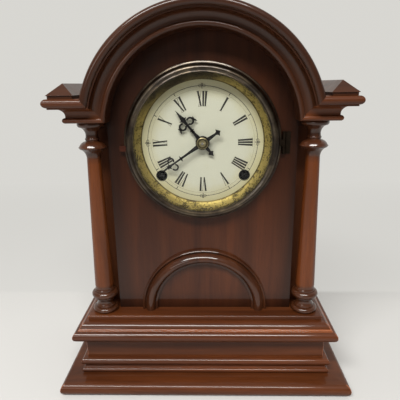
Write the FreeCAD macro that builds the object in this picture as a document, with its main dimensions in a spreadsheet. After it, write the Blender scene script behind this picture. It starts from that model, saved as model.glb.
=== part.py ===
"""Shelf clock: arched wooden case on a stepped base, turned columns, eight-day time and strike movement.

Lengths are millimetres. The clock stands on the plane z = 0, faces -Y, and its middle is x = 0, y = 0.
Every length is a named cell of the sheet; the tables called shares hold pure ratios.
"""
import FreeCAD
import Part
import Sketcher
import math
import os
from types import SimpleNamespace

Vector = FreeCAD.Vector

SIZES = (
    # case as a whole
    ("column_gap", 14.0), ("column_stand_off", 2.0), ("back_inset", 4.2), ("pendulum_room", 44.3),
    # base, from the floor upwards; an overhang is measured from the column axis
    ("plinth_rise", 12.0), ("plinth_overhang", 37.5), ("plinth_bulge", 4.0),
    ("plinth_crown_rise", 2.0), ("plinth_crown_overhang", 22.0),
    ("low_bead_rise", 4.4), ("low_bead_overhang", 21.5), ("low_bead_bulge", 2.0),
    ("groove_rise", 4.1), ("groove_overhang", 21.2), ("groove_bulge", 0.7),
    ("foot_bead_rise", 7.0), ("foot_bead_overhang", 20.6), ("foot_bead_bulge", 3.1),
    ("frieze_rise", 22.3), ("frieze_overhang", 18.2),
    ("top_bead_rise", 10.0), ("top_bead_overhang", 25.2), ("top_bead_bulge", 3.5),
    ("top_fillet_rise", 1.4), ("top_fillet_overhang", 23.6),
    ("ovolo_rise", 5.8), ("ovolo_foot_overhang", 22.6), ("ovolo_head_overhang", 16.4), ("ovolo_bulge", 1.3),
    ("deck_rise", 5.0), ("deck_overhang", 15.0), ("deck_bulge", 0.6),
    # columns
    ("column_rise", 189.6), ("column_ring_radius", 13.0), ("tenon_radius", 1.9), ("tenon_length", 4.0),
    # cornice and archivolt share one moulding
    ("neck_bead_rise", 4.8), ("neck_bead_overhang", 17.1), ("neck_bead_bulge", 2.2),
    ("cove_rise", 6.6), ("cove_lip", 1.0), ("cove_foot_overhang", 16.9), ("cove_head_overhang", 23.4),
    ("cove_bulge", 2.0), ("soffit_overhang", 28.0), ("soffit_lip", 1.2),
    ("crown_bead_rise", 7.4), ("crown_bead_overhang", 27.8), ("crown_bead_bulge", 3.6),
    ("cap_fillet_rise", 2.6), ("cap_fillet_inset", 1.3), ("cap_overhang", 28.5), ("cap_width", 23.6),
    ("cap_rise", 10.0),
    # front panel, arch, hood and carcass
    ("bezel_margin", 15.8), ("panel_thickness", 16.0), ("arch_lap", 2.8), ("hood_thickness", 14.2),
    ("arch_drop", 7.5), ("post_width", 24.0), ("post_depth", 18.0), ("side_thickness", 10.0),
    ("back_thickness", 6.0), ("door_half_width", 52.0), ("door_rise", 190.0), ("door_sill", 14.0),
    ("door_gap", 0.5), ("button_arm", 14.0), ("button_heel", 6.0), ("button_width", 5.0),
    # applied arch under the dial
    ("low_arch_radius", 63.5), ("low_arch_width", 17.0), ("low_arch_depth", 7.5), ("low_arch_stilt", 1.5),
    ("low_arch_lip", 3.0), ("low_arch_lip_depth", 3.2), ("low_arch_bulge", 2.6),
    # dial, sight ring, bezel and glass
    ("dial_drop", 13.1), ("dial_margin", 10.38), ("dial_set_back", 3.2), ("dial_thickness", 0.8),
    ("dial_eye_radius", 4.2), ("key_hole_radius", 4.9), ("dial_fit", 0.4),
    ("sight_lap", 4.0), ("sight_flange", 3.0), ("sight_lip", 0.7), ("sight_reach", 8.4),
    ("sight_bulge", 1.6), ("sight_clearance", 0.8),
    ("bezel_width", 7.0), ("bezel_mouth_lip", 1.4), ("bezel_gap", 0.3),
    ("bezel_flange_rise", 2.6), ("bezel_flange_width", 3.0), ("bezel_cove_rise", 5.4), ("bezel_rise", 12.0),
    ("bezel_seat", 1.4), ("bezel_roll", 3.2), ("bezel_lip", 1.0), ("bezel_cove_bulge", 1.2),
    ("bezel_flange_bulge", 0.8), ("bezel_roll_bulge", 1.1), ("glass_thickness", 1.6),
    ("hinge_clearance", 2.8), ("hinge_reach", 2.4), ("hinge_knuckle_radius", 1.8), ("hinge_pin_radius", 0.9),
    ("hinge_rise", 20.0), ("hinge_leaf_width", 8.0), ("bezel_leaf_width", 4.0), ("hinge_leaf_thickness", 0.9),
    ("hinge_fit", 0.06), ("hinge_slot", 0.35),
    ("tab_width", 6.4), ("tab_rise", 5.0), ("tab_thickness", 1.6), ("tab_drop", 4.0),
    # hands
    ("hand_thickness", 0.6), ("hour_hand_level", 0.4), ("minute_hand_level", 2.6), ("hour_hand_length", 38.5),
    ("minute_hand_length", 45.0), ("hour_tail_length", 16.0), ("minute_tail_length", 20.0),
    ("hand_width", 1.7), ("hand_hub_radius", 3.6), ("hand_loop_radius", 3.4), ("hand_loop_wire", 0.55),
    ("washer_radius", 5.4), ("washer_rise", 1.1), ("hand_pin_radius", 0.4), ("hand_pin_length", 6.0),
    # movement frame
    ("plate_thickness", 2.0), ("plate_gap", 26.0), ("plate_edge", 13.0), ("plate_drop", 66.0),
    ("plate_shoulder", 38.0), ("plate_crown", 11.0), ("plate_head_half_width", 16.0), ("plate_margin", 5.0),
    ("pillar_radius", 3.0), ("pillar_height", 27.0), ("foot_pillar_spread", 10.0), ("foot_pillar_inset", 6.0),
    ("nut_radius", 4.0), ("nut_rise", 3.0), ("plate_screw_head_spread", 10.0),
    ("screw_radius", 1.6), ("screw_head_radius", 3.2), ("screw_head_rise", 1.2), ("screw_length", 8.0),
    ("dial_foot_radius", 2.2), ("dial_foot_offset", 50.0),
    # arbors and wheels
    ("winding_offset", 39.0), ("winding_drop", 31.0), ("winding_radius", 2.2), ("winding_square", 3.4),
    ("winding_end", 5.6), ("arbor_radius", 1.1), ("pivot_radius", 0.8), ("pivot_fit", 0.1),
    ("end_shake", 0.4),
    ("great_module", 0.9), ("second_module", 0.78), ("fine_module", 0.5), ("strike_module", 0.6),
    ("motion_module", 0.75), ("pipe_radius", 2.6), ("pipe_bore", 1.7), ("stud_radius", 1.5),
    ("escape_radius", 15.0), ("escape_tooth", 2.6), ("verge_lift", 0.772), ("pallet_gap", 1.8),
    ("pallet_thickness", 1.2), ("crutch_length", 48.0), ("crutch_width", 2.0), ("crutch_reach", 7.5),
    ("spring_thickness", 0.4), ("spring_clearance", 0.3), ("spring_outer_radius", 20.0),
    ("fly_radius", 11.0), ("fly_thickness", 0.5),
    # pendulum
    ("bob_height", 40.0), ("rod_radius", 0.9), ("bob_radius", 18.0), ("bob_bulge", 4.0),
    ("bob_edge", 0.6), ("pendulum_clearance", 7.0), ("suspension_width", 4.0), ("suspension_thickness", 0.25),
    ("suspension_length", 14.0), ("suspension_head", 4.0), ("cock_width", 8.0), ("cock_rise", 7.0),
    ("suspension_bead", 0.9), ("cock_reach", 12.0), ("rating_nut_radius", 3.0), ("rating_nut_rise", 2.4),
    # bell and hammer
    ("bell_side_gap", 11.0), ("bell_back_gap", 4.3), ("bell_radius", 20.0), ("bell_rise", 15.0),
    ("bell_wall", 1.2), ("bell_rim_height", 40.0), ("stand_radius", 3.0), ("stand_foot_radius", 9.0),
    ("stand_foot_rise", 3.0), ("hammer_offset", 14.0), ("hammer_inset", 16.0), ("hammer_head_radius", 3.4),
    ("hammer_head_length", 8.0), ("hammer_arm_radius", 0.9), ("hammer_gap", 0.6),
)

doc = FreeCAD.newDocument("ShelfClock")
sheet = doc.addObject("Spreadsheet::Sheet", "Dims")
for row, (name, value) in enumerate(SIZES, start=1):
    sheet.set("A%d" % row, name)
    sheet.set("B%d" % row, repr(value))
    sheet.setAlias("B%d" % row, name)
doc.recompute()


class Size:
    """A length that keeps both its value and its formula in terms of the sheet."""

    def __init__(self, value, text):
        self.value = value
        self.text = text

    def __add__(self, other):
        other = sized(other)
        return Size(self.value + other.value, "(%s + %s)" % (self.text, other.text))

    def __sub__(self, other):
        other = sized(other)
        return Size(self.value - other.value, "(%s - %s)" % (self.text, other.text))

    def __mul__(self, other):
        other = sized(other)
        return Size(self.value * other.value, "(%s * %s)" % (self.text, other.text))

    def __truediv__(self, other):
        other = sized(other)
        return Size(self.value / other.value, "(%s / %s)" % (self.text, other.text))

    def __neg__(self):
        return Size(-self.value, "(0 - %s)" % self.text)

    def __rsub__(self, other):
        return sized(other) - self

    def root(self):
        return Size(math.sqrt(self.value), "sqrt(%s)" % self.text)


def sized(item):
    """Turn a plain ratio or zero into a Size."""
    if isinstance(item, Size):
        return item
    return Size(float(item), repr(float(item)))


s = SimpleNamespace(**{name: Size(float(sheet.get(name)), "Dims." + name) for name, _ in SIZES})
mm = SimpleNamespace(**{name: float(sheet.get(name)) for name, _ in SIZES})
train_degrees = {"third": 75.0, "strike_second": 90.0, "strike_third": 60.0, "fly": 100.0, "minute": 135.0}
counts = {
    "great": 60, "first_pinion": 10, "second": 48, "centre_pinion": 20, "centre": 96, "fine_pinion": 8,
    "third": 96, "escape": 28, "strike_second": 60, "strike_third": 56, "cannon": 12, "minute": 36,
    "minute_pinion": 10, "hour": 40,
}
nodes = []


def derive(name, size):
    """Name a size that is worked out from others."""
    setattr(s, name, size)
    setattr(mm, name, size.value)


# dial, bezel, panel and case take their widths from the winding holes outwards
derive("dial_radius", (s.winding_offset * s.winding_offset + s.winding_drop * s.winding_drop).root()
       + s.dial_margin)
derive("dial_hole_radius", s.dial_radius + s.dial_fit)
derive("sight_inner_radius", s.dial_radius - s.sight_lap)
derive("sight_outer_radius", s.dial_radius + s.sight_flange)
derive("bezel_wall", s.sight_outer_radius + s.sight_clearance)
derive("bezel_mouth", s.bezel_wall - s.bezel_mouth_lip)
derive("bezel_seat_radius", s.bezel_wall + s.bezel_seat)
derive("bezel_roll_radius", s.bezel_wall + s.bezel_roll)
derive("bezel_radius", s.bezel_wall + s.bezel_width)
derive("hinge_offset", s.bezel_radius + s.hinge_clearance)
derive("panel_half_width", s.bezel_radius + s.bezel_margin)
derive("arch_inner_radius", s.panel_half_width - s.arch_lap)
derive("column_offset", s.panel_half_width + s.column_gap)
derive("hood_radius", s.panel_half_width + s.hood_thickness)

# depths behind the panel's face
derive("movement_depth", s.panel_thickness + s.plate_thickness * 2 + s.plate_gap)
derive("inside_depth", s.movement_depth + s.pendulum_room)
derive("pendulum_level", s.movement_depth + s.pendulum_clearance)
derive("bell_level", s.inside_depth - s.bell_radius - s.bell_back_gap)
derive("bell_offset", s.hood_radius - s.side_thickness - s.bell_radius - s.bell_side_gap)
derive("plinth_reach", s.plinth_overhang + s.plinth_bulge)
derive("case_depth", s.plinth_reach + s.column_stand_off + s.inside_depth + s.back_thickness + s.back_inset)

# places on the plates, from the middle of the dial
two_steps = (counts["centre"] + counts["fine_pinion"]) * math.sin(math.radians(train_degrees["third"]))
derive("verge_rise", s.fine_module * two_steps + s.escape_radius + s.pallet_gap + s.pallet_thickness
       + s.verge_lift)
derive("plate_half_width", s.winding_offset + s.plate_edge)
derive("plate_head", s.verge_rise + s.plate_crown)
derive("pillar_spread", s.plate_half_width - s.plate_margin)
derive("plate_screw_spread", s.plate_half_width - s.plate_margin)
derive("plate_screw_drop", s.plate_drop - s.plate_margin)
derive("plate_screw_head", s.plate_head - s.plate_margin)
derive("foot_pillar_drop", s.plate_drop - s.foot_pillar_inset)
derive("hammer_drop", s.plate_drop - s.hammer_inset)


def bind(item, path, size):
    """Drive one property of a document object from the sheet."""
    item.setExpression(path, sized(size).text)


def place(item, spot):
    """Tie the position of a document object to the sheet."""
    for axis, size in zip("xyz", spot):
        bind(item, "Placement.Base." + axis, size)


def hand_in(label, item):
    """Name a finished piece and list it for writing."""
    item.Label = label
    nodes.append(item)
    return item


# drawing helpers

def new_body(label, spot):
    body = doc.addObject("PartDesign::Body", label)
    place(body, spot)
    return hand_in(label, body)


def draw_path(sketch, path):
    """Draw a closed path of (x, y, bulge) corners; a bulge is the rise of the arc to the next corner."""
    corners = [(sized(x), sized(y), bulge) for x, y, bulge in path]
    ends = []
    constraints = []
    drivers = []
    for here, there in zip(corners, corners[1:] + corners[:1]):
        start = Vector(here[0].value, here[1].value, 0)
        finish = Vector(there[0].value, there[1].value, 0)
        bulge = here[2]
        if bulge is None:
            index = sketch.addGeometry(Part.LineSegment(start, finish), False)
            ends.append((index, 1, 2))
            continue
        run_x = there[0] - here[0]
        run_y = there[1] - here[1]
        rise = bulge if bulge.value > 0 else -bulge
        radius = (run_x * run_x + run_y * run_y) / (rise * 8) + rise / 2
        side = Vector(finish.y - start.y, start.x - finish.x, 0).normalize()
        turn = 1.0 if bulge.value > 0 else -1.0
        centre = (start + finish) * 0.5 + side * (turn * (rise.value - radius.value))
        first, last = (start, finish) if bulge.value > 0 else (finish, start)
        begin = math.atan2(first.y - centre.y, first.x - centre.x)
        stop = math.atan2(last.y - centre.y, last.x - centre.x)
        if stop < begin:
            stop += 2 * math.pi
        circle = Part.Circle(centre, Vector(0, 0, 1), radius.value)
        index = sketch.addGeometry(Part.ArcOfCircle(circle, begin, stop), False)
        ends.append((index, 1, 2) if bulge.value > 0 else (index, 2, 1))
        constraints.append(Sketcher.Constraint("Radius", index, radius.value))
        drivers.append(radius)
    for number, corner in enumerate(corners):
        index, begin, _ = ends[number]
        before, _, finish = ends[number - 1]
        constraints.append(Sketcher.Constraint("DistanceX", index, begin, corner[0].value))
        constraints.append(Sketcher.Constraint("DistanceY", index, begin, corner[1].value))
        drivers.extend((corner[0], corner[1]))
        constraints.append(Sketcher.Constraint("Coincident", before, finish, index, begin))
        drivers.append(None)
    drive(sketch, constraints, drivers)


def draw_ring(sketch, x, y, radius):
    """Draw a full circle."""
    x, y = sized(x), sized(y)
    circle = Part.Circle(Vector(x.value, y.value, 0), Vector(0, 0, 1), radius.value)
    index = sketch.addGeometry(circle, False)
    constraints = [
        Sketcher.Constraint("Radius", index, radius.value),
        Sketcher.Constraint("DistanceX", index, 3, x.value),
        Sketcher.Constraint("DistanceY", index, 3, y.value),
    ]
    drive(sketch, constraints, [radius, x, y])


def drive(sketch, constraints, drivers):
    """Add constraints and tie each one to its formula."""
    first = sketch.ConstraintCount
    sketch.addConstraint(constraints)
    for number, size in enumerate(drivers):
        if size is not None and "Dims" in size.text:
            sketch.setExpression("Constraints[%d]" % (first + number), size.text)


def draw(body, plane, paths=(), rings=(), offset=None):
    """Sketch closed paths and circles on one of the body's own planes."""
    sketch = body.newObject("Sketcher::SketchObject", body.Name + "_sketch")
    for feature in body.Origin.OriginFeatures:
        if feature.Role == plane:
            sketch.AttachmentSupport = [(feature, "")]
    sketch.MapMode = "FlatFace"
    if offset is not None:
        bind(sketch, "AttachmentOffset.Base.z", offset)
    for path in paths:
        draw_path(sketch, path)
    for ring in rings:
        draw_ring(sketch, *ring)
    sketch.Visibility = False
    return sketch


def pad(body, sketch, length, backwards=False):
    feature = body.newObject("PartDesign::Pad", body.Name + "_pad")
    feature.Profile = sketch
    bind(feature, "Length", length)
    feature.Reversed = backwards
    doc.recompute()
    return feature


def pocket(body, sketch, length):
    """Cut away a sketch, turning the cut round if it met no material."""
    before = body.Shape.Volume
    feature = body.newObject("PartDesign::Pocket", body.Name + "_pocket")
    feature.Profile = sketch
    bind(feature, "Length", length)
    doc.recompute()
    if not feature.isValid() or body.Shape.Volume > before * (1 - least_cut_share):
        feature.Reversed = True
        doc.recompute()
    return feature


def revolve(body, sketch, degrees=360.0):
    feature = body.newObject("PartDesign::Revolution", body.Name + "_turning")
    feature.Profile = sketch
    feature.ReferenceAxis = (sketch, ["V_Axis"])
    feature.Angle = degrees
    doc.recompute()
    return feature


least_cut_share = 1e-7
quarter_bulge_share = 1 - math.sqrt(0.5)
half_share = 0.5

# main planes
axis_y = s.plinth_reach - s.case_depth * half_share
panel_y = axis_y + s.column_stand_off
back_y = s.case_depth * half_share - s.back_inset - s.back_thickness
panel_back_y = panel_y + s.panel_thickness
plinth_top = s.plinth_rise + s.plinth_crown_rise
lower_moulding_rise = s.low_bead_rise + s.groove_rise + s.foot_bead_rise
frieze_z = plinth_top + lower_moulding_rise
upper_moulding_z = frieze_z + s.frieze_rise
upper_moulding_rise = s.top_bead_rise + s.top_fillet_rise + s.ovolo_rise
deck_z = upper_moulding_z + upper_moulding_rise
case_z = deck_z + s.deck_rise
cornice_z = case_z + s.column_rise
derive("wall_rise", s.column_rise - s.arch_drop)
spring_z = case_z + s.wall_rise
derive("dial_height", spring_z - s.dial_drop)
derive("pendulum_length", s.dial_height + s.verge_rise - case_z - s.bob_height)
cornice_rise = s.neck_bead_rise + s.cove_lip + s.cove_rise + s.soffit_lip + s.crown_bead_rise
arch_outer_radius = s.arch_inner_radius + cornice_rise
far = s.plinth_reach + s.column_stand_off


# wooden case

def moulded_block(label, z, outer, inner, front, back):
    """A board moulded along its front and ends: outlines as (place, rise, bulge) from the bottom up."""
    body = new_body(label, (0, axis_y, z))
    outline = list(outer)
    downward = [(x, rise, inner[number - 1][2] if number else None)
                for number, (x, rise, _) in enumerate(inner)]
    outline.extend(reversed(downward))
    pad(body, draw(body, "XZ_Plane", [outline], offset=-back), back + far)
    bottom = front[0]
    top = front[-1]
    cutter = [(-far - far, bottom[1] - far, None), (bottom[0], bottom[1] - far, None)]
    cutter.extend((y, rise, None if bulge is None else -bulge) for y, rise, bulge in front)
    cutter.extend([(top[0], top[1] + far, None), (-far - far, top[1] + far, None)])
    reach = s.column_offset + far
    pocket(body, draw(body, "YZ_Plane", [cutter], offset=reach), reach + reach)
    return body


def base_board(label, z, profile):
    """A full-width board of the base from (overhang, rise, bulge) stations."""
    right = [(s.column_offset + overhang, rise, bulge) for overhang, rise, bulge in profile]
    left = [(-x, rise, bulge) for x, rise, bulge in right]
    front = [(-overhang, rise, bulge) for overhang, rise, bulge in profile]
    return moulded_block(label, z, right, left, front, s.case_depth - s.plinth_reach)


base_board("plinth_board", 0, (
    (s.plinth_overhang, 0, s.plinth_bulge),
    (s.plinth_overhang, s.plinth_rise, None),
    (s.plinth_crown_overhang, plinth_top, None),
))
groove_top = s.low_bead_rise + s.groove_rise
base_board("lower_base_moulding", plinth_top, (
    (s.low_bead_overhang, 0, s.low_bead_bulge),
    (s.low_bead_overhang, s.low_bead_rise, None),
    (s.groove_overhang, s.low_bead_rise, -s.groove_bulge),
    (s.groove_overhang, groove_top, None),
    (s.foot_bead_overhang, groove_top, s.foot_bead_bulge),
    (s.foot_bead_overhang, lower_moulding_rise, None),
))
base_board("frieze_board", frieze_z, (
    (s.frieze_overhang, 0, None),
    (s.frieze_overhang, s.frieze_rise, None),
))
fillet_top = s.top_bead_rise + s.top_fillet_rise
base_board("upper_base_moulding", upper_moulding_z, (
    (s.top_bead_overhang, 0, s.top_bead_bulge),
    (s.top_bead_overhang, s.top_bead_rise, None),
    (s.top_fillet_overhang, s.top_bead_rise, None),
    (s.top_fillet_overhang, fillet_top, None),
    (s.ovolo_foot_overhang, fillet_top, s.ovolo_bulge),
    (s.ovolo_head_overhang, upper_moulding_rise, None),
))
deck = base_board("base_deck", deck_z, (
    (s.deck_overhang, 0, None),
    (s.deck_overhang, s.deck_rise * half_share, s.deck_bulge),
    (s.deck_overhang - s.deck_bulge, s.deck_rise, None),
))
tenon_rings = [(s.column_offset * side, 0, s.tenon_radius) for side in (-1, 1)]
pocket(deck, draw(deck, "XY_Plane", rings=tenon_rings, offset=s.deck_rise), s.tenon_length)

column_shares = (  # share of the height, share of the ring radius, bulge as a share of the ring radius
    (0.0, 0.83, 0.15), (0.027, 0.83, None), (0.027, 0.74, None), (0.034, 0.74, -0.07),
    (0.069, 0.67, None), (0.073, 0.77, None), (0.080, 0.77, None), (0.080, 0.81, 0.19),
    (0.117, 0.81, None), (0.117, 0.76, None), (0.125, 0.76, -0.03), (0.147, 0.715, None),
    (0.829, 0.485, None), (0.835, 0.50, -0.09), (0.872, 0.93, None), (0.879, 1.0, None),
    (0.883, 0.94, 0.07), (0.908, 0.50, None), (0.911, 0.45, 0.05), (0.925, 0.45, None),
    (0.939, 0.43, -0.08), (0.974, 0.76, None), (0.976, 0.88, 0.09), (1.0, 0.88, None),
)
for side, name in ((-1, "left"), (1, "right")):
    column = new_body("column_" + name, (s.column_offset * side, axis_y, case_z))
    profile = [(0, -s.tenon_length, None), (s.tenon_radius, -s.tenon_length, None), (s.tenon_radius, 0, None)]
    for height, radius, bulge in column_shares:
        swell = None if bulge is None else s.column_ring_radius * bulge
        profile.append((s.column_ring_radius * radius, s.column_rise * height, swell))
    profile.append((s.tenon_radius, s.column_rise, None))
    profile.append((s.tenon_radius, s.column_rise + s.tenon_length, None))
    profile.append((0, s.column_rise + s.tenon_length, None))
    revolve(column, draw(column, "XZ_Plane", [profile]))

cove_foot = s.neck_bead_rise + s.cove_lip
cove_head = cove_foot + s.cove_rise
bead_foot = cove_head + s.soffit_lip
crown_moulding = (
    (s.neck_bead_overhang, sized(0), s.neck_bead_bulge),
    (s.neck_bead_overhang, s.neck_bead_rise, None),
    (s.cove_foot_overhang, s.neck_bead_rise, None),
    (s.cove_foot_overhang, cove_foot, -s.cove_bulge),
    (s.cove_head_overhang, cove_head, None),
    (s.soffit_overhang, cove_head, None),
    (s.soffit_overhang, bead_foot, None),
    (s.crown_bead_overhang, bead_foot, s.crown_bead_bulge),
    (s.crown_bead_overhang, cornice_rise, None),
)
hood_back = back_y - axis_y
# the mitre runs from the foot of the arch through the place where both mouldings end, and as far again
crown_drop = cornice_rise + s.arch_drop
crown_x = (arch_outer_radius * arch_outer_radius - crown_drop * crown_drop).root()
mitre_x = crown_x * 2 - s.arch_inner_radius
mitre_rise = cornice_rise * 2
cap_front = s.cap_overhang
cap_half = s.cap_width * half_share
cap_top = s.cap_fillet_rise + s.cap_rise
for side, name in ((-1, "left"), (1, "right")):
    outer = [((s.column_offset + overhang) * side, rise, None if bulge is None else bulge * side)
             for overhang, rise, bulge in crown_moulding]
    inner = [(s.arch_inner_radius * side, 0, None), (s.arch_inner_radius * side, cornice_rise, None)]
    front = [(-overhang, rise, bulge) for overhang, rise, bulge in crown_moulding]
    cornice = moulded_block("cornice_" + name, cornice_z, outer, inner, front, hood_back)
    behind = [(0, -s.arch_drop, s.hood_radius)]
    pocket(cornice, draw(cornice, "XZ_Plane", rings=behind, offset=-hood_back - far),
           hood_back + far - s.column_stand_off)
    mitre = [(s.arch_inner_radius * side, 0, None), (mitre_x * side, mitre_rise, None),
             (0, mitre_rise, None), (0, 0, None)]
    pocket(cornice, draw(cornice, "XZ_Plane", [mitre], offset=far + far), far + far + s.column_stand_off)
    pocket(cornice, draw(cornice, "XY_Plane", rings=[(s.column_offset * side, 0, s.tenon_radius)]),
           s.tenon_length)
    rim = (s.column_offset + cap_front) * side
    heel = (s.column_offset + cap_front - s.cap_width) * side
    ridge = (s.column_offset + cap_front - cap_half) * side
    step = s.cap_fillet_inset * side
    outer = [(rim - step, 0, None), (rim - step, s.cap_fillet_rise, None), (rim, s.cap_fillet_rise, None),
             (ridge, cap_top, None)]
    inner = [(heel + step, 0, None), (heel + step, s.cap_fillet_rise, None), (heel, s.cap_fillet_rise, None)]
    front = [(s.cap_fillet_inset - cap_front, sized(0), None),
             (s.cap_fillet_inset - cap_front, s.cap_fillet_rise, None), (-cap_front, s.cap_fillet_rise, None),
             (cap_half - cap_front, cap_top, None)]
    moulded_block("cornice_cap_" + name, cornice_z + cornice_rise, outer, inner, front, hood_back)

archivolt = new_body("archivolt", (0, axis_y, spring_z))
section = [(s.arch_inner_radius + rise, -overhang, bulge) for overhang, rise, bulge in crown_moulding]
section.append((arch_outer_radius, s.column_stand_off, None))
section.append((s.arch_inner_radius, s.column_stand_off, None))
turning = revolve(archivolt, draw(archivolt, "XY_Plane", [section]), 180.0)
if archivolt.Shape.BoundBox.ZMax < spring_z.value + s.arch_inner_radius.value:
    turning.Reversed = True
    doc.recompute()
for side in (-1, 1):
    waste = [(0, s.arch_drop, None), (s.arch_inner_radius * side, s.arch_drop, None),
             (mitre_x * side, s.arch_drop + mitre_rise, None),
             ((mitre_x + far) * side, s.arch_drop + mitre_rise, None),
             ((mitre_x + far) * side, -far, None), (0, -far, None)]
    pocket(archivolt, draw(archivolt, "XZ_Plane", [waste], offset=far), far + far)


def tombstone(half_width, rise):
    """An outline with upright sides and a half-round head."""
    lift = half_width * quarter_bulge_share
    return [(half_width, 0, None), (half_width, rise, lift), (0, rise + half_width, lift),
            (-half_width, rise, None), (-half_width, 0, None)]


panel = new_body("front_panel", (0, panel_y, case_z))
dial_lift = s.dial_height - case_z
pad(panel, draw(panel, "XZ_Plane", [tombstone(s.panel_half_width, s.wall_rise)],
                [(0, dial_lift, s.dial_hole_radius)], offset=-s.panel_thickness), s.panel_thickness)

hood = new_body("arched_hood", (0, panel_y, spring_z))
ring = []
for radius, sign in ((s.hood_radius, 1), (s.panel_half_width, -1)):
    lift = radius * (quarter_bulge_share * sign)
    ring.extend([(radius * sign, 0, lift), (0, radius, lift), (-radius * sign, 0, None)])
pad(hood, draw(hood, "XZ_Plane", [ring], offset=panel_y - back_y), back_y - panel_y)
# beside the panel the hood stops level with the cornices, over the columns
reach = s.hood_radius + far
notch = [(-reach, -far, None), (reach, -far, None), (reach, s.arch_drop, None), (-reach, s.arch_drop, None)]
pocket(hood, draw(hood, "XZ_Plane", [notch]), s.panel_thickness)

back = new_body("back_board", (0, back_y, case_z))
opening = [(s.door_half_width, s.door_sill, None), (s.door_half_width, s.door_sill + s.door_rise, None),
           (-s.door_half_width, s.door_sill + s.door_rise, None), (-s.door_half_width, s.door_sill, None)]
pad(back, draw(back, "XZ_Plane", [tombstone(s.hood_radius, s.wall_rise), opening],
               offset=-s.back_thickness), s.back_thickness)


def box(name, spot, extent):
    item = doc.addObject("Part::Box", name)
    for key, size in zip(("Length", "Width", "Height"), extent):
        bind(item, key, size)
    place(item, spot)
    return item


def rod(name, spot, radius, length):
    """A cylinder standing on a spot."""
    item = doc.addObject("Part::Cylinder", name)
    bind(item, "Radius", radius)
    bind(item, "Height", length)
    place(item, spot)
    return item


def join(label, pieces):
    item = doc.addObject("Part::MultiFuse", label)
    item.Shapes = pieces
    return hand_in(label, item)


def trim(name, blank, tool):
    item = doc.addObject("Part::Cut", name)
    item.Base = blank
    item.Tool = tool
    return item


def gather(label, pieces):
    """Several alike pieces handed in as one group."""
    item = doc.addObject("Part::Compound", label)
    item.Links = pieces
    return hand_in(label, item)


side_depth = back_y - panel_back_y - s.post_depth
for side, name in ((-1, "left"), (1, "right")):
    post_x = -s.hood_radius if side < 0 else s.hood_radius - s.post_width
    side_x = -s.hood_radius if side < 0 else s.hood_radius - s.side_thickness
    hand_in("corner_post_" + name, box("corner_post_" + name, (post_x, panel_back_y, case_z),
                                       (s.post_width, s.post_depth, s.wall_rise)))
    hand_in("side_board_" + name, box("side_board_" + name, (side_x, panel_back_y + s.post_depth, case_z),
                                      (s.side_thickness, side_depth, s.wall_rise)))

low_arch = new_body("lower_arch_moulding", (0, panel_y, case_z + s.low_arch_stilt))
low_inner = s.low_arch_radius - s.low_arch_width
low_lip = s.low_arch_radius - s.low_arch_lip
low_section = [(low_inner, 0, None), (low_inner, -s.low_arch_depth * half_share, s.low_arch_bulge),
               (low_lip, -s.low_arch_depth * half_share, None), (low_lip, -s.low_arch_lip_depth, None),
               (s.low_arch_radius, -s.low_arch_lip_depth, None), (s.low_arch_radius, 0, None)]
turning = revolve(low_arch, draw(low_arch, "XY_Plane", [low_section]), 180.0)
if low_arch.Shape.BoundBox.ZMax < (case_z + s.low_arch_radius).value:
    turning.Reversed = True
    doc.recompute()
mirrored = [(-x if isinstance(x, Size) else x, y, None if bulge is None else -bulge)
            for x, y, bulge in low_section]
pad(low_arch, draw(low_arch, "XY_Plane", [low_section, mirrored]), s.low_arch_stilt, backwards=True)

# dial, sight ring and bezel

dial_spot = (0, panel_y, s.dial_height)
dial = new_body("dial", dial_spot)
dial_back = s.dial_set_back + s.dial_thickness
dial_rings = [(0, 0, s.dial_radius), (0, 0, s.dial_eye_radius)]
dial_rings.extend((s.winding_offset * side, -s.winding_drop, s.key_hole_radius) for side in (-1, 1))
pad(dial, draw(dial, "XZ_Plane", rings=dial_rings, offset=-dial_back), s.dial_thickness)
foot_degrees = (90.0, 200.0, 340.0)
foot_rings = [(s.dial_foot_offset * math.cos(math.radians(bearing)),
               s.dial_foot_offset * math.sin(math.radians(bearing)), s.dial_foot_radius)
              for bearing in foot_degrees]
pad(dial, draw(dial, "XZ_Plane", rings=foot_rings, offset=-s.panel_thickness), s.panel_thickness - dial_back)

sight = new_body("sight_ring", dial_spot)
revolve(sight, draw(sight, "XY_Plane", [[
    (s.sight_inner_radius, s.dial_set_back, None),
    (s.sight_inner_radius, s.dial_set_back - s.sight_lip, -s.sight_bulge),
    (s.sight_outer_radius - s.sight_lip, -s.sight_reach, None), (s.sight_outer_radius, -s.sight_reach, None),
    (s.sight_outer_radius, 0, None), (s.dial_radius, 0, None), (s.dial_radius, s.dial_set_back, None),
]]))

bezel = new_body("bezel_ring", dial_spot)
flange_face = s.bezel_gap + s.bezel_flange_rise
cove_face = flange_face + s.bezel_cove_rise
seat_face = s.bezel_rise - s.bezel_lip - s.bezel_lip * half_share
glass_back = seat_face - s.glass_thickness
revolve(bezel, draw(bezel, "XY_Plane", [[
    (s.bezel_wall, -s.bezel_gap, None), (s.bezel_wall, -glass_back, None),
    (s.bezel_seat_radius, -glass_back, None), (s.bezel_seat_radius, -seat_face, None),
    (s.bezel_mouth, -seat_face, None),
    (s.bezel_mouth, -s.bezel_rise + s.bezel_lip * half_share, None),
    (s.bezel_mouth + s.bezel_lip, -s.bezel_rise, s.bezel_roll_bulge),
    (s.bezel_roll_radius, -cove_face, -s.bezel_cove_bulge),
    (s.bezel_radius - s.bezel_flange_width, -flange_face, None),
    (s.bezel_radius, -flange_face, s.bezel_flange_bulge), (s.bezel_radius, -s.bezel_gap, None),
]]))
glass = new_body("bezel_glass", dial_spot)
pad(glass, draw(glass, "XZ_Plane", rings=[(0, 0, s.bezel_seat_radius)], offset=glass_back), s.glass_thickness)

third = s.hinge_rise / 3
tongue = third - s.hinge_slot * 2


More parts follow.
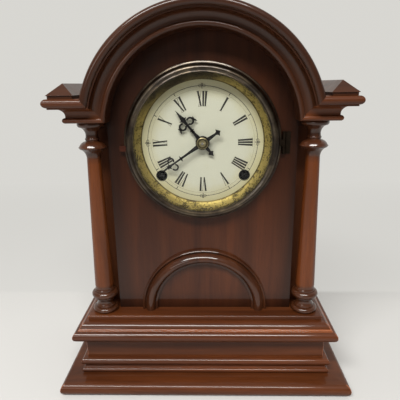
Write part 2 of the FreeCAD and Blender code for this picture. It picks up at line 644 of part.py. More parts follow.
def hinge(name, x, y, z, leaf_y, leaf_width, flap_low_x, flap_y, flap_width):
    """A butt hinge standing along Z: a fixed leaf with its barrels and pin, and a flap with one barrel."""
    reach = s.hinge_knuckle_radius + s.hinge_slot
    fixed = [box(name + "_leaf_plate", (x + reach, leaf_y, z),
                 (leaf_width, s.hinge_leaf_thickness, s.hinge_rise)),
             rod(name + "_pin", (x, y, z), s.hinge_pin_radius, s.hinge_rise)]
    for number, lift in enumerate((sized(0), third + third)):
        fixed.append(box("%s_bridge_%d" % (name, number), (x, leaf_y, z + lift),
                         (reach + s.hinge_slot, s.hinge_leaf_thickness, third)))
        fixed.append(rod("%s_barrel_%d" % (name, number), (x, y, z + lift), s.hinge_knuckle_radius, third))
    flap_z = z + third + s.hinge_slot
    blank = doc.addObject("Part::MultiFuse", name + "_blank")
    blank.Shapes = [box(name + "_flap_plate", (flap_low_x, flap_y, flap_z),
                        (flap_width, s.hinge_leaf_thickness, tongue)),
                    rod(name + "_flap_barrel", (x, y, flap_z), s.hinge_knuckle_radius, tongue)]
    bore = rod(name + "_bore", (x, y, z), s.hinge_pin_radius + s.hinge_fit, s.hinge_rise)
    return fixed, trim(name + "_bored", blank, bore)


hinge_y = panel_y - s.hinge_reach
hinge_z = s.dial_height - s.hinge_rise * half_share
flap_x = s.bezel_radius - s.bezel_flange_width * half_share
fixed, flap = hinge("bezel_hinge", s.hinge_offset, hinge_y, hinge_z, panel_y - s.hinge_leaf_thickness,
                    s.bezel_leaf_width, flap_x, panel_y - flange_face - s.hinge_leaf_thickness,
                    s.hinge_offset - flap_x)
join("bezel_hinge_leaf", fixed)
hand_in("bezel_hinge_flap", flap)
tab_x = -s.bezel_radius - s.tab_width + s.bezel_flange_width * half_share
hand_in("bezel_finger_tab", box("bezel_finger_tab",
                                (tab_x, panel_y - flange_face - s.tab_thickness,
                                 s.dial_height - s.tab_drop - s.tab_rise * half_share),
                                (s.tab_width, s.tab_thickness, s.tab_rise)))

# back door

door_face = back_y + s.back_thickness
door_z = case_z + s.door_sill + s.door_gap
door_width = s.door_half_width * 2 - s.door_gap * 2
hand_in("back_door", box("back_door", (s.door_gap - s.door_half_width, back_y, door_z),
                         (door_width, s.back_thickness, s.door_rise - s.door_gap * 2)))
door_hinge_shares = (0.12, 0.88)
door_hinge_y = door_face + s.hinge_knuckle_radius + s.hinge_fit
fixed_pieces = []
flap_pieces = []
for number, share in enumerate(door_hinge_shares):
    z = door_z + s.door_rise * share - s.hinge_rise * half_share
    fixed, flap = hinge("door_hinge_%d" % number, s.door_half_width, door_hinge_y, z, door_face,
                        s.hinge_leaf_width, s.door_half_width - s.hinge_leaf_width, door_face,
                        s.hinge_leaf_width)
    whole = doc.addObject("Part::MultiFuse", "door_hinge_leaf_%d" % number)
    whole.Shapes = fixed
    fixed_pieces.append(whole)
    flap_pieces.append(flap)
gather("door_hinge_leaves", fixed_pieces)
gather("door_hinge_flaps", flap_pieces)

# movement: numbers worked out from the sheet, then solids in place

tooth_share = 0.31       # thickness of a tooth at the pitch line over the circular pitch
tooth_root_share = 1.35  # root and tip thickness over that at the pitch line
tooth_tip_share = 0.45
addendum_share = 0.85    # over the module
dedendum_share = 1.25
crossing_share = 0.62    # middle of the wheel's round crossings over the pitch radius
crossing_radius_share = 0.2
crossing_count = 5
level_shares = {         # start and end between the plates, as shares of the gap
    "great": (0.115, 0.192), "first_pinion": (0.077, 0.231), "second": (0.385, 0.442),
    "centre_pinion": (0.346, 0.481), "centre": (0.577, 0.623), "third_pinion": (0.538, 0.662),
    "third": (0.769, 0.815), "escape_pinion": (0.731, 0.846), "escape": (0.892, 0.938),
    "strike_pinion": (0.346, 0.481), "strike_third": (0.692, 0.738), "fly_pinion": (0.654, 0.769),
    "fly": (0.10, 0.446), "spring": (0.50, 0.96),
}
motion_shares = {        # levels between the dial and the front plate, as shares of the panel thickness
    "cannon": (0.60, 0.79), "minute": (0.64, 0.725), "minute_pinion": (0.43, 0.60), "hour": (0.47, 0.56),
    "stud": 0.40,
}
face_y = panel_y.value
front_plate_y = mm.panel_thickness
inner_front = front_plate_y + mm.plate_thickness
inner_back = inner_front + mm.plate_gap
rear_y = inner_back + mm.plate_thickness
along = Vector(0, 1, 0)


def level(name):
    start, end = level_shares[name]
    return inner_front + mm.plate_gap * start, inner_front + mm.plate_gap * end


def motion_level(name):
    start, end = motion_shares[name]
    return mm.panel_thickness * start, mm.panel_thickness * end


def spread(count_a, count_b, module):
    return (count_a + count_b) * module / 2


def step_from(point, distance, bearing):
    angle = math.radians(bearing)
    return (point[0] + distance * math.cos(angle), point[1] + distance * math.sin(angle))


def meeting_point(a, b, reach_a, reach_b):
    """The point at two given distances from two others, on the left of the way from a to b."""
    gap = math.hypot(b[0] - a[0], b[1] - a[1])
    ahead = (reach_a ** 2 + gap ** 2 - reach_b ** 2) / (2 * gap)
    aside = math.sqrt(reach_a ** 2 - ahead ** 2)
    ux, uz = (b[0] - a[0]) / gap, (b[1] - a[1]) / gap
    return (a[0] + ux * ahead - uz * aside, a[1] + uz * ahead + ux * aside)


motion_step = spread(counts["cannon"], counts["minute"], mm.motion_module)
hour_module = motion_step * 2 / (counts["minute_pinion"] + counts["hour"])
fine_step = spread(counts["centre"], counts["fine_pinion"], mm.fine_module)
spots = {"centre": (0.0, 0.0)}
spots["time_great"] = (mm.winding_offset, -mm.winding_drop)
spots["strike_great"] = (-mm.winding_offset, -mm.winding_drop)
great_step = spread(counts["great"], counts["first_pinion"], mm.great_module)
spots["time_second"] = meeting_point(
    spots["centre"], spots["time_great"],
    spread(counts["second"], counts["centre_pinion"], mm.second_module), great_step)
spots["time_third"] = step_from(spots["centre"], fine_step, train_degrees["third"])
escape_rise = math.sqrt(fine_step ** 2 - spots["time_third"][0] ** 2)
spots["escape"] = (0.0, spots["time_third"][1] + escape_rise)
spots["strike_second"] = step_from(spots["strike_great"], great_step, train_degrees["strike_second"])
spots["strike_third"] = step_from(
    spots["strike_second"], spread(counts["strike_second"], counts["fine_pinion"], mm.strike_module),
    train_degrees["strike_third"])
fly_step = spread(counts["strike_third"], counts["fine_pinion"], mm.fine_module)
spots["fly"] = step_from(spots["strike_third"], fly_step, train_degrees["fly"])
spots["minute"] = step_from(spots["centre"], motion_step, train_degrees["minute"])
spots["verge"] = (0.0, mm.verge_rise)
spots["hammer"] = (-mm.hammer_offset, -mm.hammer_drop)


def mesh_phase(driver, follower, driver_count, follower_count):
    """Turn of a follower whose leaves fall in the gaps of a driver standing with a tooth along +X."""
    a, b = spots[driver], spots[follower]
    bearing = math.atan2(b[1] - a[1], b[0] - a[0])
    pitch = 2 * math.pi / driver_count
    slip = (-bearing + pitch / 2) % pitch - pitch / 2
    return bearing + math.pi - slip * driver_count / follower_count + math.pi / follower_count


def prism(points, span):
    """A flat outline in the plane of the dial, given thickness along Y."""
    start, end = span
    corners = [Vector(x, start, z) for x, z in points]
    return Part.Face(Part.makePolygon(corners + corners[:1])).extrude(along * (end - start))


def bar(radius, span, spot=(0.0, 0.0)):
    start, end = span
    return Part.makeCylinder(radius, end - start, Vector(spot[0], start, spot[1]), along)


def slab(low, high):
    """An upright block between two corners."""
    return Part.makeBox(high[0] - low[0], high[1] - low[1], high[2] - low[2], Vector(*low))


def gear(count, module, span, phase=0.0, crossed=False):
    """A toothed wheel about the Y axis with straight-sided teeth."""
    pitch_radius = count * module / 2
    half = math.pi * tooth_share / count
    root = pitch_radius - dedendum_share * module
    tip = pitch_radius + addendum_share * module
    points = []
    for number in range(count):
        angle = phase + 2 * math.pi * number / count
        for radius, turn in ((root, -tooth_root_share), (tip, -tooth_tip_share),
                             (tip, tooth_tip_share), (root, tooth_root_share)):
            points.append((radius * math.cos(angle + half * turn), radius * math.sin(angle + half * turn)))
    wheel = prism(points, span)
    if crossed:
        for number in range(crossing_count):
            spot = step_from((0, 0), pitch_radius * crossing_share, 360.0 * number / crossing_count)
            wheel = wheel.cut(bar(pitch_radius * crossing_radius_share, span, spot))
    return wheel


def solid_node(label, shape, spot=(0.0, 0.0)):
    """Hand in a solid standing at a spot of the dial plane; its own origin is on the panel's face."""
    item = doc.addObject("Part::Feature", label)
    item.Shape = shape.removeSplitter()
    item.Placement = FreeCAD.Placement(Vector(spot[0], face_y, mm.dial_height + spot[1]), FreeCAD.Rotation())
    return hand_in(label, item)


def arbor(pieces):
    """An arbor with a pivot in each plate, carrying its wheels and pinions."""
    shaft = bar(mm.arbor_radius, (inner_front + mm.end_shake, inner_back - mm.end_shake))
    return shaft.multiFuse([bar(mm.pivot_radius, (front_plate_y, rear_y))] + pieces)


def winding_arbor(pieces):
    """An arbor with a square for the key behind the dial."""
    half = mm.winding_square / 2
    shaft = bar(mm.winding_radius, (front_plate_y - mm.plate_thickness, inner_back - mm.end_shake))
    square = slab((-half, mm.winding_end, -half), (half, front_plate_y - mm.plate_thickness, half))
    return shaft.multiFuse([square, bar(mm.pivot_radius, (inner_front, rear_y))] + pieces)


great = counts["great"]
leaf = counts["first_pinion"]
fine = counts["fine_pinion"]
solid_node("time_great_wheel", winding_arbor([gear(great, mm.great_module, level("great"), 0.0, True)]),
           spots["time_great"])
solid_node("strike_great_wheel", winding_arbor([gear(great, mm.great_module, level("great"), 0.0, True)]),
           spots["strike_great"])
solid_node("time_second_wheel", arbor([
    gear(leaf, mm.great_module, level("first_pinion"), mesh_phase("time_great", "time_second", great, leaf)),
    gear(counts["second"], mm.second_module, level("second"), 0.0, True)]), spots["time_second"])
solid_node("time_third_wheel", arbor([
    gear(fine, mm.fine_module, level("third_pinion"),
         mesh_phase("centre", "time_third", counts["centre"], fine)),
    gear(counts["third"], mm.fine_module, level("third"), 0.0, True)]), spots["time_third"])
solid_node("strike_second_wheel", arbor([
    gear(leaf, mm.great_module, level("first_pinion"),
         mesh_phase("strike_great", "strike_second", great, leaf)),
    gear(counts["strike_second"], mm.strike_module, level("second"), 0.0, True)]), spots["strike_second"])
solid_node("strike_third_wheel", arbor([
    gear(fine, mm.strike_module, level("strike_pinion"),
         mesh_phase("strike_second", "strike_third", counts["strike_second"], fine)),
    gear(counts["strike_third"], mm.fine_module, level("strike_third"), 0.0, True)]), spots["strike_third"])
fly_start, fly_end = level("fly")
half_blade = mm.fly_thickness / 2
solid_node("strike_fly", arbor([
    gear(fine, mm.fine_module, level("fly_pinion"),
         mesh_phase("strike_third", "fly", counts["strike_third"], fine)),
    slab((-mm.fly_radius, fly_start, -half_blade), (mm.fly_radius, fly_end, half_blade))]), spots["fly"])

saw = []
for number in range(counts["escape"]):
    tip_angle = 2 * math.pi * number / counts["escape"]
    heel_angle = tip_angle + math.pi / counts["escape"]
    saw.append((mm.escape_radius * math.cos(tip_angle), mm.escape_radius * math.sin(tip_angle)))
    root = mm.escape_radius - mm.escape_tooth
    saw.append((root * math.cos(heel_angle), root * math.sin(heel_angle)))
solid_node("escape_wheel", arbor([
    gear(fine, mm.fine_module, level("escape_pinion"),
         mesh_phase("time_third", "escape", counts["third"], fine)),
    prism(saw, level("escape"))]), spots["escape"])

minute_face = -mm.minute_hand_level
hour_face = mm.hour_hand_level
arbor_end = minute_face - mm.washer_rise - mm.hand_pin_radius * 4
cannon = counts["cannon"]
solid_node("centre_arbor", arbor([
    bar(mm.arbor_radius, (arbor_end, inner_front)),
    gear(counts["centre_pinion"], mm.second_module, level("centre_pinion"),
         mesh_phase("time_second", "centre", counts["second"], counts["centre_pinion"])),
    gear(counts["centre"], mm.fine_module, level("centre"), 0.0, True),
    gear(cannon, mm.motion_module, motion_level("cannon"))]))
minute_wheel = gear(counts["minute"], mm.motion_module, motion_level("minute"),
                    mesh_phase("centre", "minute", cannon, counts["minute"]))
minute_wheel = minute_wheel.fuse(gear(counts["minute_pinion"], hour_module, (motion_level("minute_pinion")[0],
                                                                          motion_level("minute")[0])))
stud_end = mm.panel_thickness * motion_shares["stud"]
minute_wheel = minute_wheel.cut(bar(mm.stud_radius + mm.pivot_fit, (stud_end, front_plate_y)))
solid_node("minute_wheel", minute_wheel, spots["minute"])
hour_start, hour_end = motion_level("hour")
hour_wheel = gear(counts["hour"], hour_module, (hour_start, hour_end),
                  mesh_phase("minute", "centre", counts["minute_pinion"], counts["hour"]))
hour_wheel = hour_wheel.fuse(bar(mm.pipe_radius, (hour_face, hour_end)))
solid_node("hour_wheel", hour_wheel.cut(bar(mm.pipe_bore, (hour_face, hour_end))))


# hands, drawn pointing up

def hand(length, tail, face, eye, loop_share):
    """A pierced hand: pointed blade, arrow tail, cross bars and a pair of scroll loops."""
    span = (face, face + mm.hand_thickness)
    half = mm.hand_width / 2
    shoulder = length * blade_share
    barb = half * arrow_share
    heel = -tail * tail_share
    blade = prism([(-half, 0), (half, 0), (half, shoulder), (0, length), (-half, shoulder)], span)
    right_barb = [(barb, heel), (half, heel), (half, 0)]
    arrow = prism([(-half, 0), (-half, heel), (-barb, heel), (0, -tail)] + right_barb, span)
    pieces = [arrow, bar(mm.hand_hub_radius, span)]
    ring_out = mm.hand_loop_radius
    ring_in = mm.hand_loop_radius - mm.hand_loop_wire * 2
    for side in (-1, 1):
        spot = (side * ring_out, length * loop_share)
        pieces.append(bar(ring_out, span, spot).cut(bar(ring_in, span, spot)))
    cross = mm.hand_hub_radius
    for share in bar_shares:
        low = length * share - mm.hand_loop_wire
        high = length * share + mm.hand_loop_wire
        pieces.append(slab((-cross, span[0], low), (cross, span[1], high)))
    whole = blade.multiFuse(pieces)
    return whole.cut(bar(eye, span))


blade_share = 0.78
tail_share = 0.72
arrow_share = 2.6
bar_shares = (0.36, 0.47)
hour_loop_share = 0.62
minute_loop_share = 0.84
washer_round_share = 0.9
hour_hand_degrees = 319.5
minute_hand_degrees = 234.0


def hand_node(label, shape, clockwise):
    """Stand a hand at the shown time."""
    turned = shape.copy()
    turned.rotate(Vector(0, 0, 0), along, clockwise)
    return solid_node(label, turned)


hand_node("hour_hand", hand(mm.hour_hand_length, mm.hour_tail_length, hour_face, mm.pipe_radius,
                            hour_loop_share), hour_hand_degrees)
hand_node("minute_hand", hand(mm.minute_hand_length, mm.minute_tail_length, minute_face, mm.arbor_radius,
                              minute_loop_share), minute_hand_degrees)
washer = bar(mm.washer_radius, (minute_face - mm.washer_rise, minute_face))
front_edges = [edge for edge in washer.Edges if edge.BoundBox.YMax < minute_face - mm.washer_rise / 2]
washer = washer.makeFillet(mm.washer_rise * washer_round_share, front_edges)
pin_y = minute_face - mm.washer_rise + mm.hand_pin_radius * half_share
pin = Part.makeCylinder(mm.hand_pin_radius, mm.hand_pin_length,
                        Vector(-mm.hand_pin_length / 2, pin_y, 0), Vector(1, 0, 0))
washer = washer.fuse(pin).cut(bar(mm.arbor_radius, (arbor_end, minute_face)))
solid_node("hand_washer", washer)

# frame of the movement

plate_outline = [(-mm.plate_half_width, -mm.plate_drop), (mm.plate_half_width, -mm.plate_drop),
                 (mm.plate_half_width, mm.plate_shoulder), (mm.plate_head_half_width, mm.plate_head),
                 (-mm.plate_head_half_width, mm.plate_head), (-mm.plate_half_width, mm.plate_shoulder)]
pillar_spots = [(side * mm.pillar_spread, mm.pillar_height) for side in (-1, 1)]
pillar_spots += [(side * mm.foot_pillar_spread, -mm.foot_pillar_drop) for side in (-1, 1)]
screw_spots = [(side * mm.plate_screw_spread, -mm.plate_screw_drop) for side in (-1, 1)]
screw_spots += [(side * mm.plate_screw_head_spread, mm.plate_screw_head) for side in (-1, 1)]
running = ("time_second", "time_third", "strike_second", "strike_third", "fly", "escape", "verge", "hammer")
hole = mm.pivot_radius + mm.pivot_fit


def plate(span, winding_hole, centre_hole, screws):
    """A plate pierced for every pivot, pillar and screw."""
    holes = [bar(hole, span, spots[name]) for name in running]
    holes += [bar(winding_hole, span, spots[name]) for name in ("time_great", "strike_great")]
    holes.append(bar(centre_hole, span, spots["centre"]))
    holes += [bar(mm.screw_radius, span, spot) for spot in pillar_spots + screws]
    return prism(plate_outline, span).cut(holes)


front_span = (front_plate_y, inner_front)
back_span = (inner_back, rear_y)
front_plate = plate(front_span, mm.winding_radius + mm.pivot_fit, mm.arbor_radius + mm.pivot_fit, screw_spots)
solid_node("front_plate", front_plate.fuse(bar(mm.stud_radius, (stud_end, front_plate_y), spots["minute"])))
back_plate = plate(back_span, hole, hole, [])
back_plate = back_plate.cut([bar(mm.arbor_radius + mm.pivot_fit, back_span, spots[name])
                             for name in ("verge", "hammer")])
solid_node("back_plate", back_plate)

pillar = bar(mm.pillar_radius, (inner_front, inner_back)).fuse(
    bar(mm.screw_radius, (front_plate_y, rear_y + mm.nut_rise)))
solid_node("plate_pillars", Part.Compound([pillar.translated(Vector(x, 0, z)) for x, z in pillar_spots]))
hexagon = [step_from((0, 0), mm.nut_radius, 60.0 * number) for number in range(6)]
nut_span = (rear_y, rear_y + mm.nut_rise)
nut = prism(hexagon, nut_span).cut(bar(mm.screw_radius, nut_span))
solid_node("pillar_nuts", Part.Compound([nut.translated(Vector(x, 0, z)) for x, z in pillar_spots]))
screw = bar(mm.screw_radius, (inner_front - mm.screw_length, inner_front)).fuse(
    bar(mm.screw_head_radius, (inner_front, inner_front + mm.screw_head_rise)))
screw_rings = []
for side in (-1, 1):
    screw_rings.append((s.plate_screw_spread * side, dial_lift - s.plate_screw_drop, s.screw_radius))
    screw_rings.append((s.plate_screw_head_spread * side, dial_lift + s.plate_screw_head, s.screw_radius))
pocket(panel, draw(panel, "XZ_Plane", rings=screw_rings, offset=-s.panel_thickness),
       s.screw_length - s.plate_thickness)

spring_turn_count = 6
coil_point_count = 24


def mainspring(side):
    """An open coil that starts close round the winding arbor."""
    steps = spring_turn_count * coil_point_count
    eye = mm.winding_radius + mm.spring_clearance
    inside, outside = [], []
    for number in range(steps + 1):
        angle = side * 2 * math.pi * number / coil_point_count - math.pi / 2
        radius = eye + (mm.spring_outer_radius - eye) * number / steps
        inside.append((radius * math.cos(angle), radius * math.sin(angle)))
        outside.append(((radius + mm.spring_thickness) * math.cos(angle),
                        (radius + mm.spring_thickness) * math.sin(angle)))
    coil = prism(inside + outside[::-1], level("spring"))
    place_x, place_z = spots["time_great"]
    return coil.translated(Vector(side * place_x, 0, place_z))


solid_node("mainsprings", Part.Compound([mainspring(1), mainspring(-1)]))

# verge, crutch and pendulum

pallet_in = mm.escape_radius + mm.pallet_gap
pallet_out = pallet_in + mm.pallet_thickness
pallet_sweep_degrees = 50.0
pallet_step_count = 12
arc_shares = [number / pallet_step_count for number in range(pallet_step_count + 1)]
arc_degrees = [90.0 + pallet_sweep_degrees * (2 * share - 1) for share in arc_shares]
escape_drop = (0.0, spots["escape"][1] - mm.verge_rise)
arc = [step_from(escape_drop, pallet_in, bearing) for bearing in arc_degrees]
arc += [step_from(escape_drop, pallet_out, bearing) for bearing in reversed(arc_degrees)]
verge_shaft = bar(mm.arbor_radius, (inner_front + mm.end_shake, rear_y + mm.crutch_width + mm.end_shake * 2))
crutch_y = rear_y + mm.end_shake * 2
prong_in = mm.rod_radius + mm.end_shake
prong_out = prong_in + mm.crutch_width * half_share
half_crutch = mm.crutch_width / 2
foot = -mm.crutch_length
crutch = [slab((-half_crutch, crutch_y, foot), (half_crutch, crutch_y + mm.crutch_width, 0)),
          slab((-prong_out, crutch_y, foot), (prong_out, crutch_y + mm.crutch_width, foot + mm.crutch_width))]
for low, high in ((-prong_out, -prong_in), (prong_in, prong_out)):
    crutch.append(slab((low, crutch_y, foot), (high, crutch_y + mm.crutch_reach, foot + mm.crutch_width)))
crutch.append(bar(mm.pivot_radius, (front_plate_y, inner_back)))
crutch.append(prism(arc, level("escape")))
solid_node("verge_crutch", verge_shaft.multiFuse(crutch), spots["verge"])

hang = mm.pendulum_level
swing_degrees = 4.0
half_cock = mm.cock_width / 2
half_strip = mm.suspension_thickness / 2
half_slot = half_strip + mm.cock_rise * math.tan(math.radians(swing_degrees)) + mm.end_shake
cock_base = mm.arbor_radius + mm.end_shake * 3
slot_y = rear_y + mm.crutch_width + mm.end_shake * 4
cock_end = rear_y + mm.cock_reach
cock = slab((-half_cock, rear_y, cock_base), (half_cock, cock_end, mm.cock_rise))
cock = cock.fuse(slab((-half_cock, slot_y, 0), (half_cock, cock_end, cock_base)))
cock = cock.cut(slab((-half_slot, slot_y, 0), (half_slot, cock_end, mm.cock_rise)))
solid_node("suspension_cock", cock, spots["verge"])
half_tape = mm.suspension_width / 2
strip_top = mm.cock_rise + mm.suspension_bead
strip = slab((-half_strip, hang - half_tape, -mm.suspension_length),
             (half_strip, hang + half_tape, strip_top))
bead_start = Vector(-mm.suspension_head / 2, hang, strip_top + mm.end_shake)
bead = Part.makeCylinder(mm.suspension_bead, mm.suspension_head, bead_start, Vector(1, 0, 0))
solid_node("suspension_spring", strip.fuse(bead), spots["verge"])
rod_end = -mm.pendulum_length - mm.bob_radius - mm.rating_nut_rise * 3
up = Vector(0, 0, 1)


def stem(radius, low, high):
    return Part.makeCylinder(radius, high - low, Vector(0, hang, low), up)


clip = slab((-mm.rod_radius, hang - half_tape, -mm.suspension_length - mm.rod_radius * 2),
            (mm.rod_radius, hang + half_tape, -mm.suspension_length))
solid_node("pendulum_rod", stem(mm.rod_radius, rod_end, -mm.suspension_length).fuse(clip), spots["verge"])
bob_z = s.dial_height + s.verge_rise - s.pendulum_length
bob = new_body("pendulum_bob", (0, panel_y + s.pendulum_level, bob_z))
bob_half = s.bob_edge + s.bob_bulge
bob_round = s.bob_bulge * quarter_bulge_share
revolve(bob, draw(bob, "XY_Plane", [[
    (0, -bob_half, None), (s.rod_radius, -bob_half, bob_round),
    (s.bob_radius, -s.bob_edge, None), (s.bob_radius, s.bob_edge, bob_round),
    (s.rod_radius, bob_half, None), (0, bob_half, None),
]]))
pocket(bob, draw(bob, "XY_Plane", rings=[(0, 0, s.rod_radius)], offset=s.bob_radius * 2), s.bob_radius * 4)
nut_top = -mm.pendulum_length - mm.bob_radius
rating_nut = stem(mm.rating_nut_radius, nut_top - mm.rating_nut_rise, nut_top)
solid_node("rating_nut", rating_nut.cut(stem(mm.rod_radius, rod_end, 0)), spots["verge"])

# bell and hammer

stand = new_body("bell_stand", (-s.bell_offset, panel_y + s.bell_level, case_z))
crown = s.bell_rim_height + s.bell_rise - s.bell_wall
revolve(stand, draw(stand, "XZ_Plane", [[
    (0, 0, None), (s.stand_foot_radius, 0, None), (s.stand_foot_radius, s.stand_foot_rise, None),
    (s.stand_radius, s.stand_foot_rise, None), (s.stand_radius, crown, None), (0, crown, None),
]]))
bell = new_body("bell", (-s.bell_offset, panel_y + s.bell_level, case_z + s.bell_rim_height))
shoulder = s.bell_radius * half_share
bell_bulge = s.bell_rise * (quarter_bulge_share * half_share)
revolve(bell, draw(bell, "XZ_Plane", [[
    (s.bell_radius - s.bell_wall, 0, None), (s.bell_radius, 0, bell_bulge),
    (shoulder, s.bell_rise, None), (0, s.bell_rise, None), (0, s.bell_rise - s.bell_wall, None),
    (shoulder - s.bell_wall, s.bell_rise - s.bell_wall, -bell_bulge),
]]))
strike_z = case_z.value + mm.bell_rim_height + mm.hammer_head_radius - mm.dial_height
strike_x = -mm.bell_offset + mm.bell_radius + mm.hammer_gap
pivot_x, pivot_z = spots["hammer"]
strike_y = mm.bell_level
hammer_shaft = bar(mm.arbor_radius, (inner_front + mm.end_shake, strike_y + mm.arbor_radius * 2))
head_middle = Vector(strike_x + mm.hammer_head_length / 2 - pivot_x, strike_y, strike_z - pivot_z)
arm = Part.makeCylinder(mm.hammer_arm_radius, math.hypot(head_middle.x, head_middle.z),
                        Vector(0, strike_y, 0), Vector(head_middle.x, 0, head_middle.z))
head = Part.makeCylinder(mm.hammer_head_radius, mm.hammer_head_length,
                         Vector(strike_x - pivot_x, strike_y, head_middle.z), Vector(1, 0, 0))
hammer = hammer_shaft.multiFuse([bar(mm.pivot_radius, (front_plate_y, inner_back)), arm, head])
solid_node("strike_hammer", hammer, spots["hammer"])

# turn button of the back door, standing upright and clear of the door

button_offset = mm.door_half_width + mm.hinge_leaf_width
button_z = (door_z.value + mm.door_rise / 2) - mm.dial_height
button_y = door_face.value - face_y
half_button = mm.button_width / 2
button_span = (button_y + mm.door_gap, button_y + mm.door_gap + mm.tab_thickness)
button = slab((-half_button, button_span[0], -mm.button_heel), (half_button, button_span[1], mm.button_arm))
button = button.cut(bar(mm.screw_radius + mm.pivot_fit, button_span))
solid_node("door_button", button, (-button_offset, button_z))
seat_step = button_span[1] + mm.pivot_fit - inner_front
screws = [screw.translated(Vector(x, 0, z)) for x, z in screw_spots]
screws.append(screw.translated(Vector(-button_offset, seat_step, button_z)))
solid_node("wood_screws", Part.Compound(screws))
button_rise = s.door_sill + s.door_gap + s.door_rise * half_share
button_ring = (-s.door_half_width - s.hinge_leaf_width, button_rise, s.screw_radius)
pocket(back, draw(back, "XZ_Plane", rings=[button_ring], offset=-s.back_thickness),
       s.screw_length - s.tab_thickness - s.door_gap - s.pivot_fit)

doc.recompute()
os.makedirs("parts", exist_ok=True)
for item in nodes:
    if "Invalid" in item.State or "Error" in item.State:
        raise RuntimeError("%s did not build: %s" % (item.Label, item.State))
    if item.Shape.isNull() or not item.Shape.isValid() or not item.Shape.Solids:
        raise RuntimeError("%s has no sound solid" % item.Label)
for item in nodes:
    item.Shape.exportStep("parts/%s.step" % item.Label)
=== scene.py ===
"""Arched mahogany shelf clock, dressed on its CAD frame."""
import math

import bmesh
import bpy
from mathutils import Matrix, Vector


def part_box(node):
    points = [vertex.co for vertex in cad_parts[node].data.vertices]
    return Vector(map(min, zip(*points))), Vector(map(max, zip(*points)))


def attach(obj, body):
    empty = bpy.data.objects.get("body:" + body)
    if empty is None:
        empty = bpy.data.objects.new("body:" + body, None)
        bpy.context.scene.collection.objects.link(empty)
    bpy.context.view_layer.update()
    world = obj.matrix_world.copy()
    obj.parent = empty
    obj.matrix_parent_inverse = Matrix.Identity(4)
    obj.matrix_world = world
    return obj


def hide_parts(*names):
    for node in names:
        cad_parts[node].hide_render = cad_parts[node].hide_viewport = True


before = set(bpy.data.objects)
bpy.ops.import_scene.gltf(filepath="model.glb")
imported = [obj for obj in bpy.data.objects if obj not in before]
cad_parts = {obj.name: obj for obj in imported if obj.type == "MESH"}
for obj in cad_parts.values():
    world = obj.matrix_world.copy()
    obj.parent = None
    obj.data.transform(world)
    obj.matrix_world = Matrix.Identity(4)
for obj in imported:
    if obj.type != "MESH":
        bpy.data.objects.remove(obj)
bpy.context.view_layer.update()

bl_info = {
    "name": "Shelf clock",
    "version": (1, 0, 0),
    "blender": (4, 5, 0),
    "location": "3D View > Sidebar > Shelf clock",
    "description": "Dresses an arched shelf clock in polished mahogany, with a painted dial and blued hands",
    "category": "Object",
}

dial_low, dial_high = (Vector(corner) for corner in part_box("dial"))
DIAL_CENTRE = Vector((0.0, dial_low.y, (dial_low.z + dial_high.z) / 2))
ARCH_CENTRE_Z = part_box("arched_hood")[1][2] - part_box("arched_hood")[1][0]
column_low, column_high = (corner[2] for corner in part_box("column_left"))
SHAFT_LOW, SHAFT_HIGH = (column_low + (column_high - column_low) * share for share in (0.150, 0.826))
PANEL_LOW, PANEL_HIGH = (Vector(corner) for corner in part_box("front_panel"))
wheel_low, wheel_high = (Vector(corner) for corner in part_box("time_great_wheel"))
HOLES = [Vector((side * (wheel_low.x + wheel_high.x) / 2, dial_low.y, (wheel_low.z + wheel_high.z) / 2))
         for side in (-1, 1)]
GILT_RIM_SHADE = (0.0672, 0.0684)  # distance from the dial's axis over which the gilt darkens to bronze as painted shade outside, under the bezel
GILT_LIP_SHADE = (0.0576, 0.0568)  # and inside, as painted shade where it meets the dial
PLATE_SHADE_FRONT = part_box("front_plate")[1][1] - 0.0016  # the plate and its studs are painted black before this y, as painted shade,
WINDING_SHADE_FRONT = -0.0118  # and the winding arbors before this one, so that the winding holes look dark in shade
NUMERALS = ("XII", "I", "II", "III", "IIII", "V", "VI", "VII", "VIII", "IX", "X", "XI")


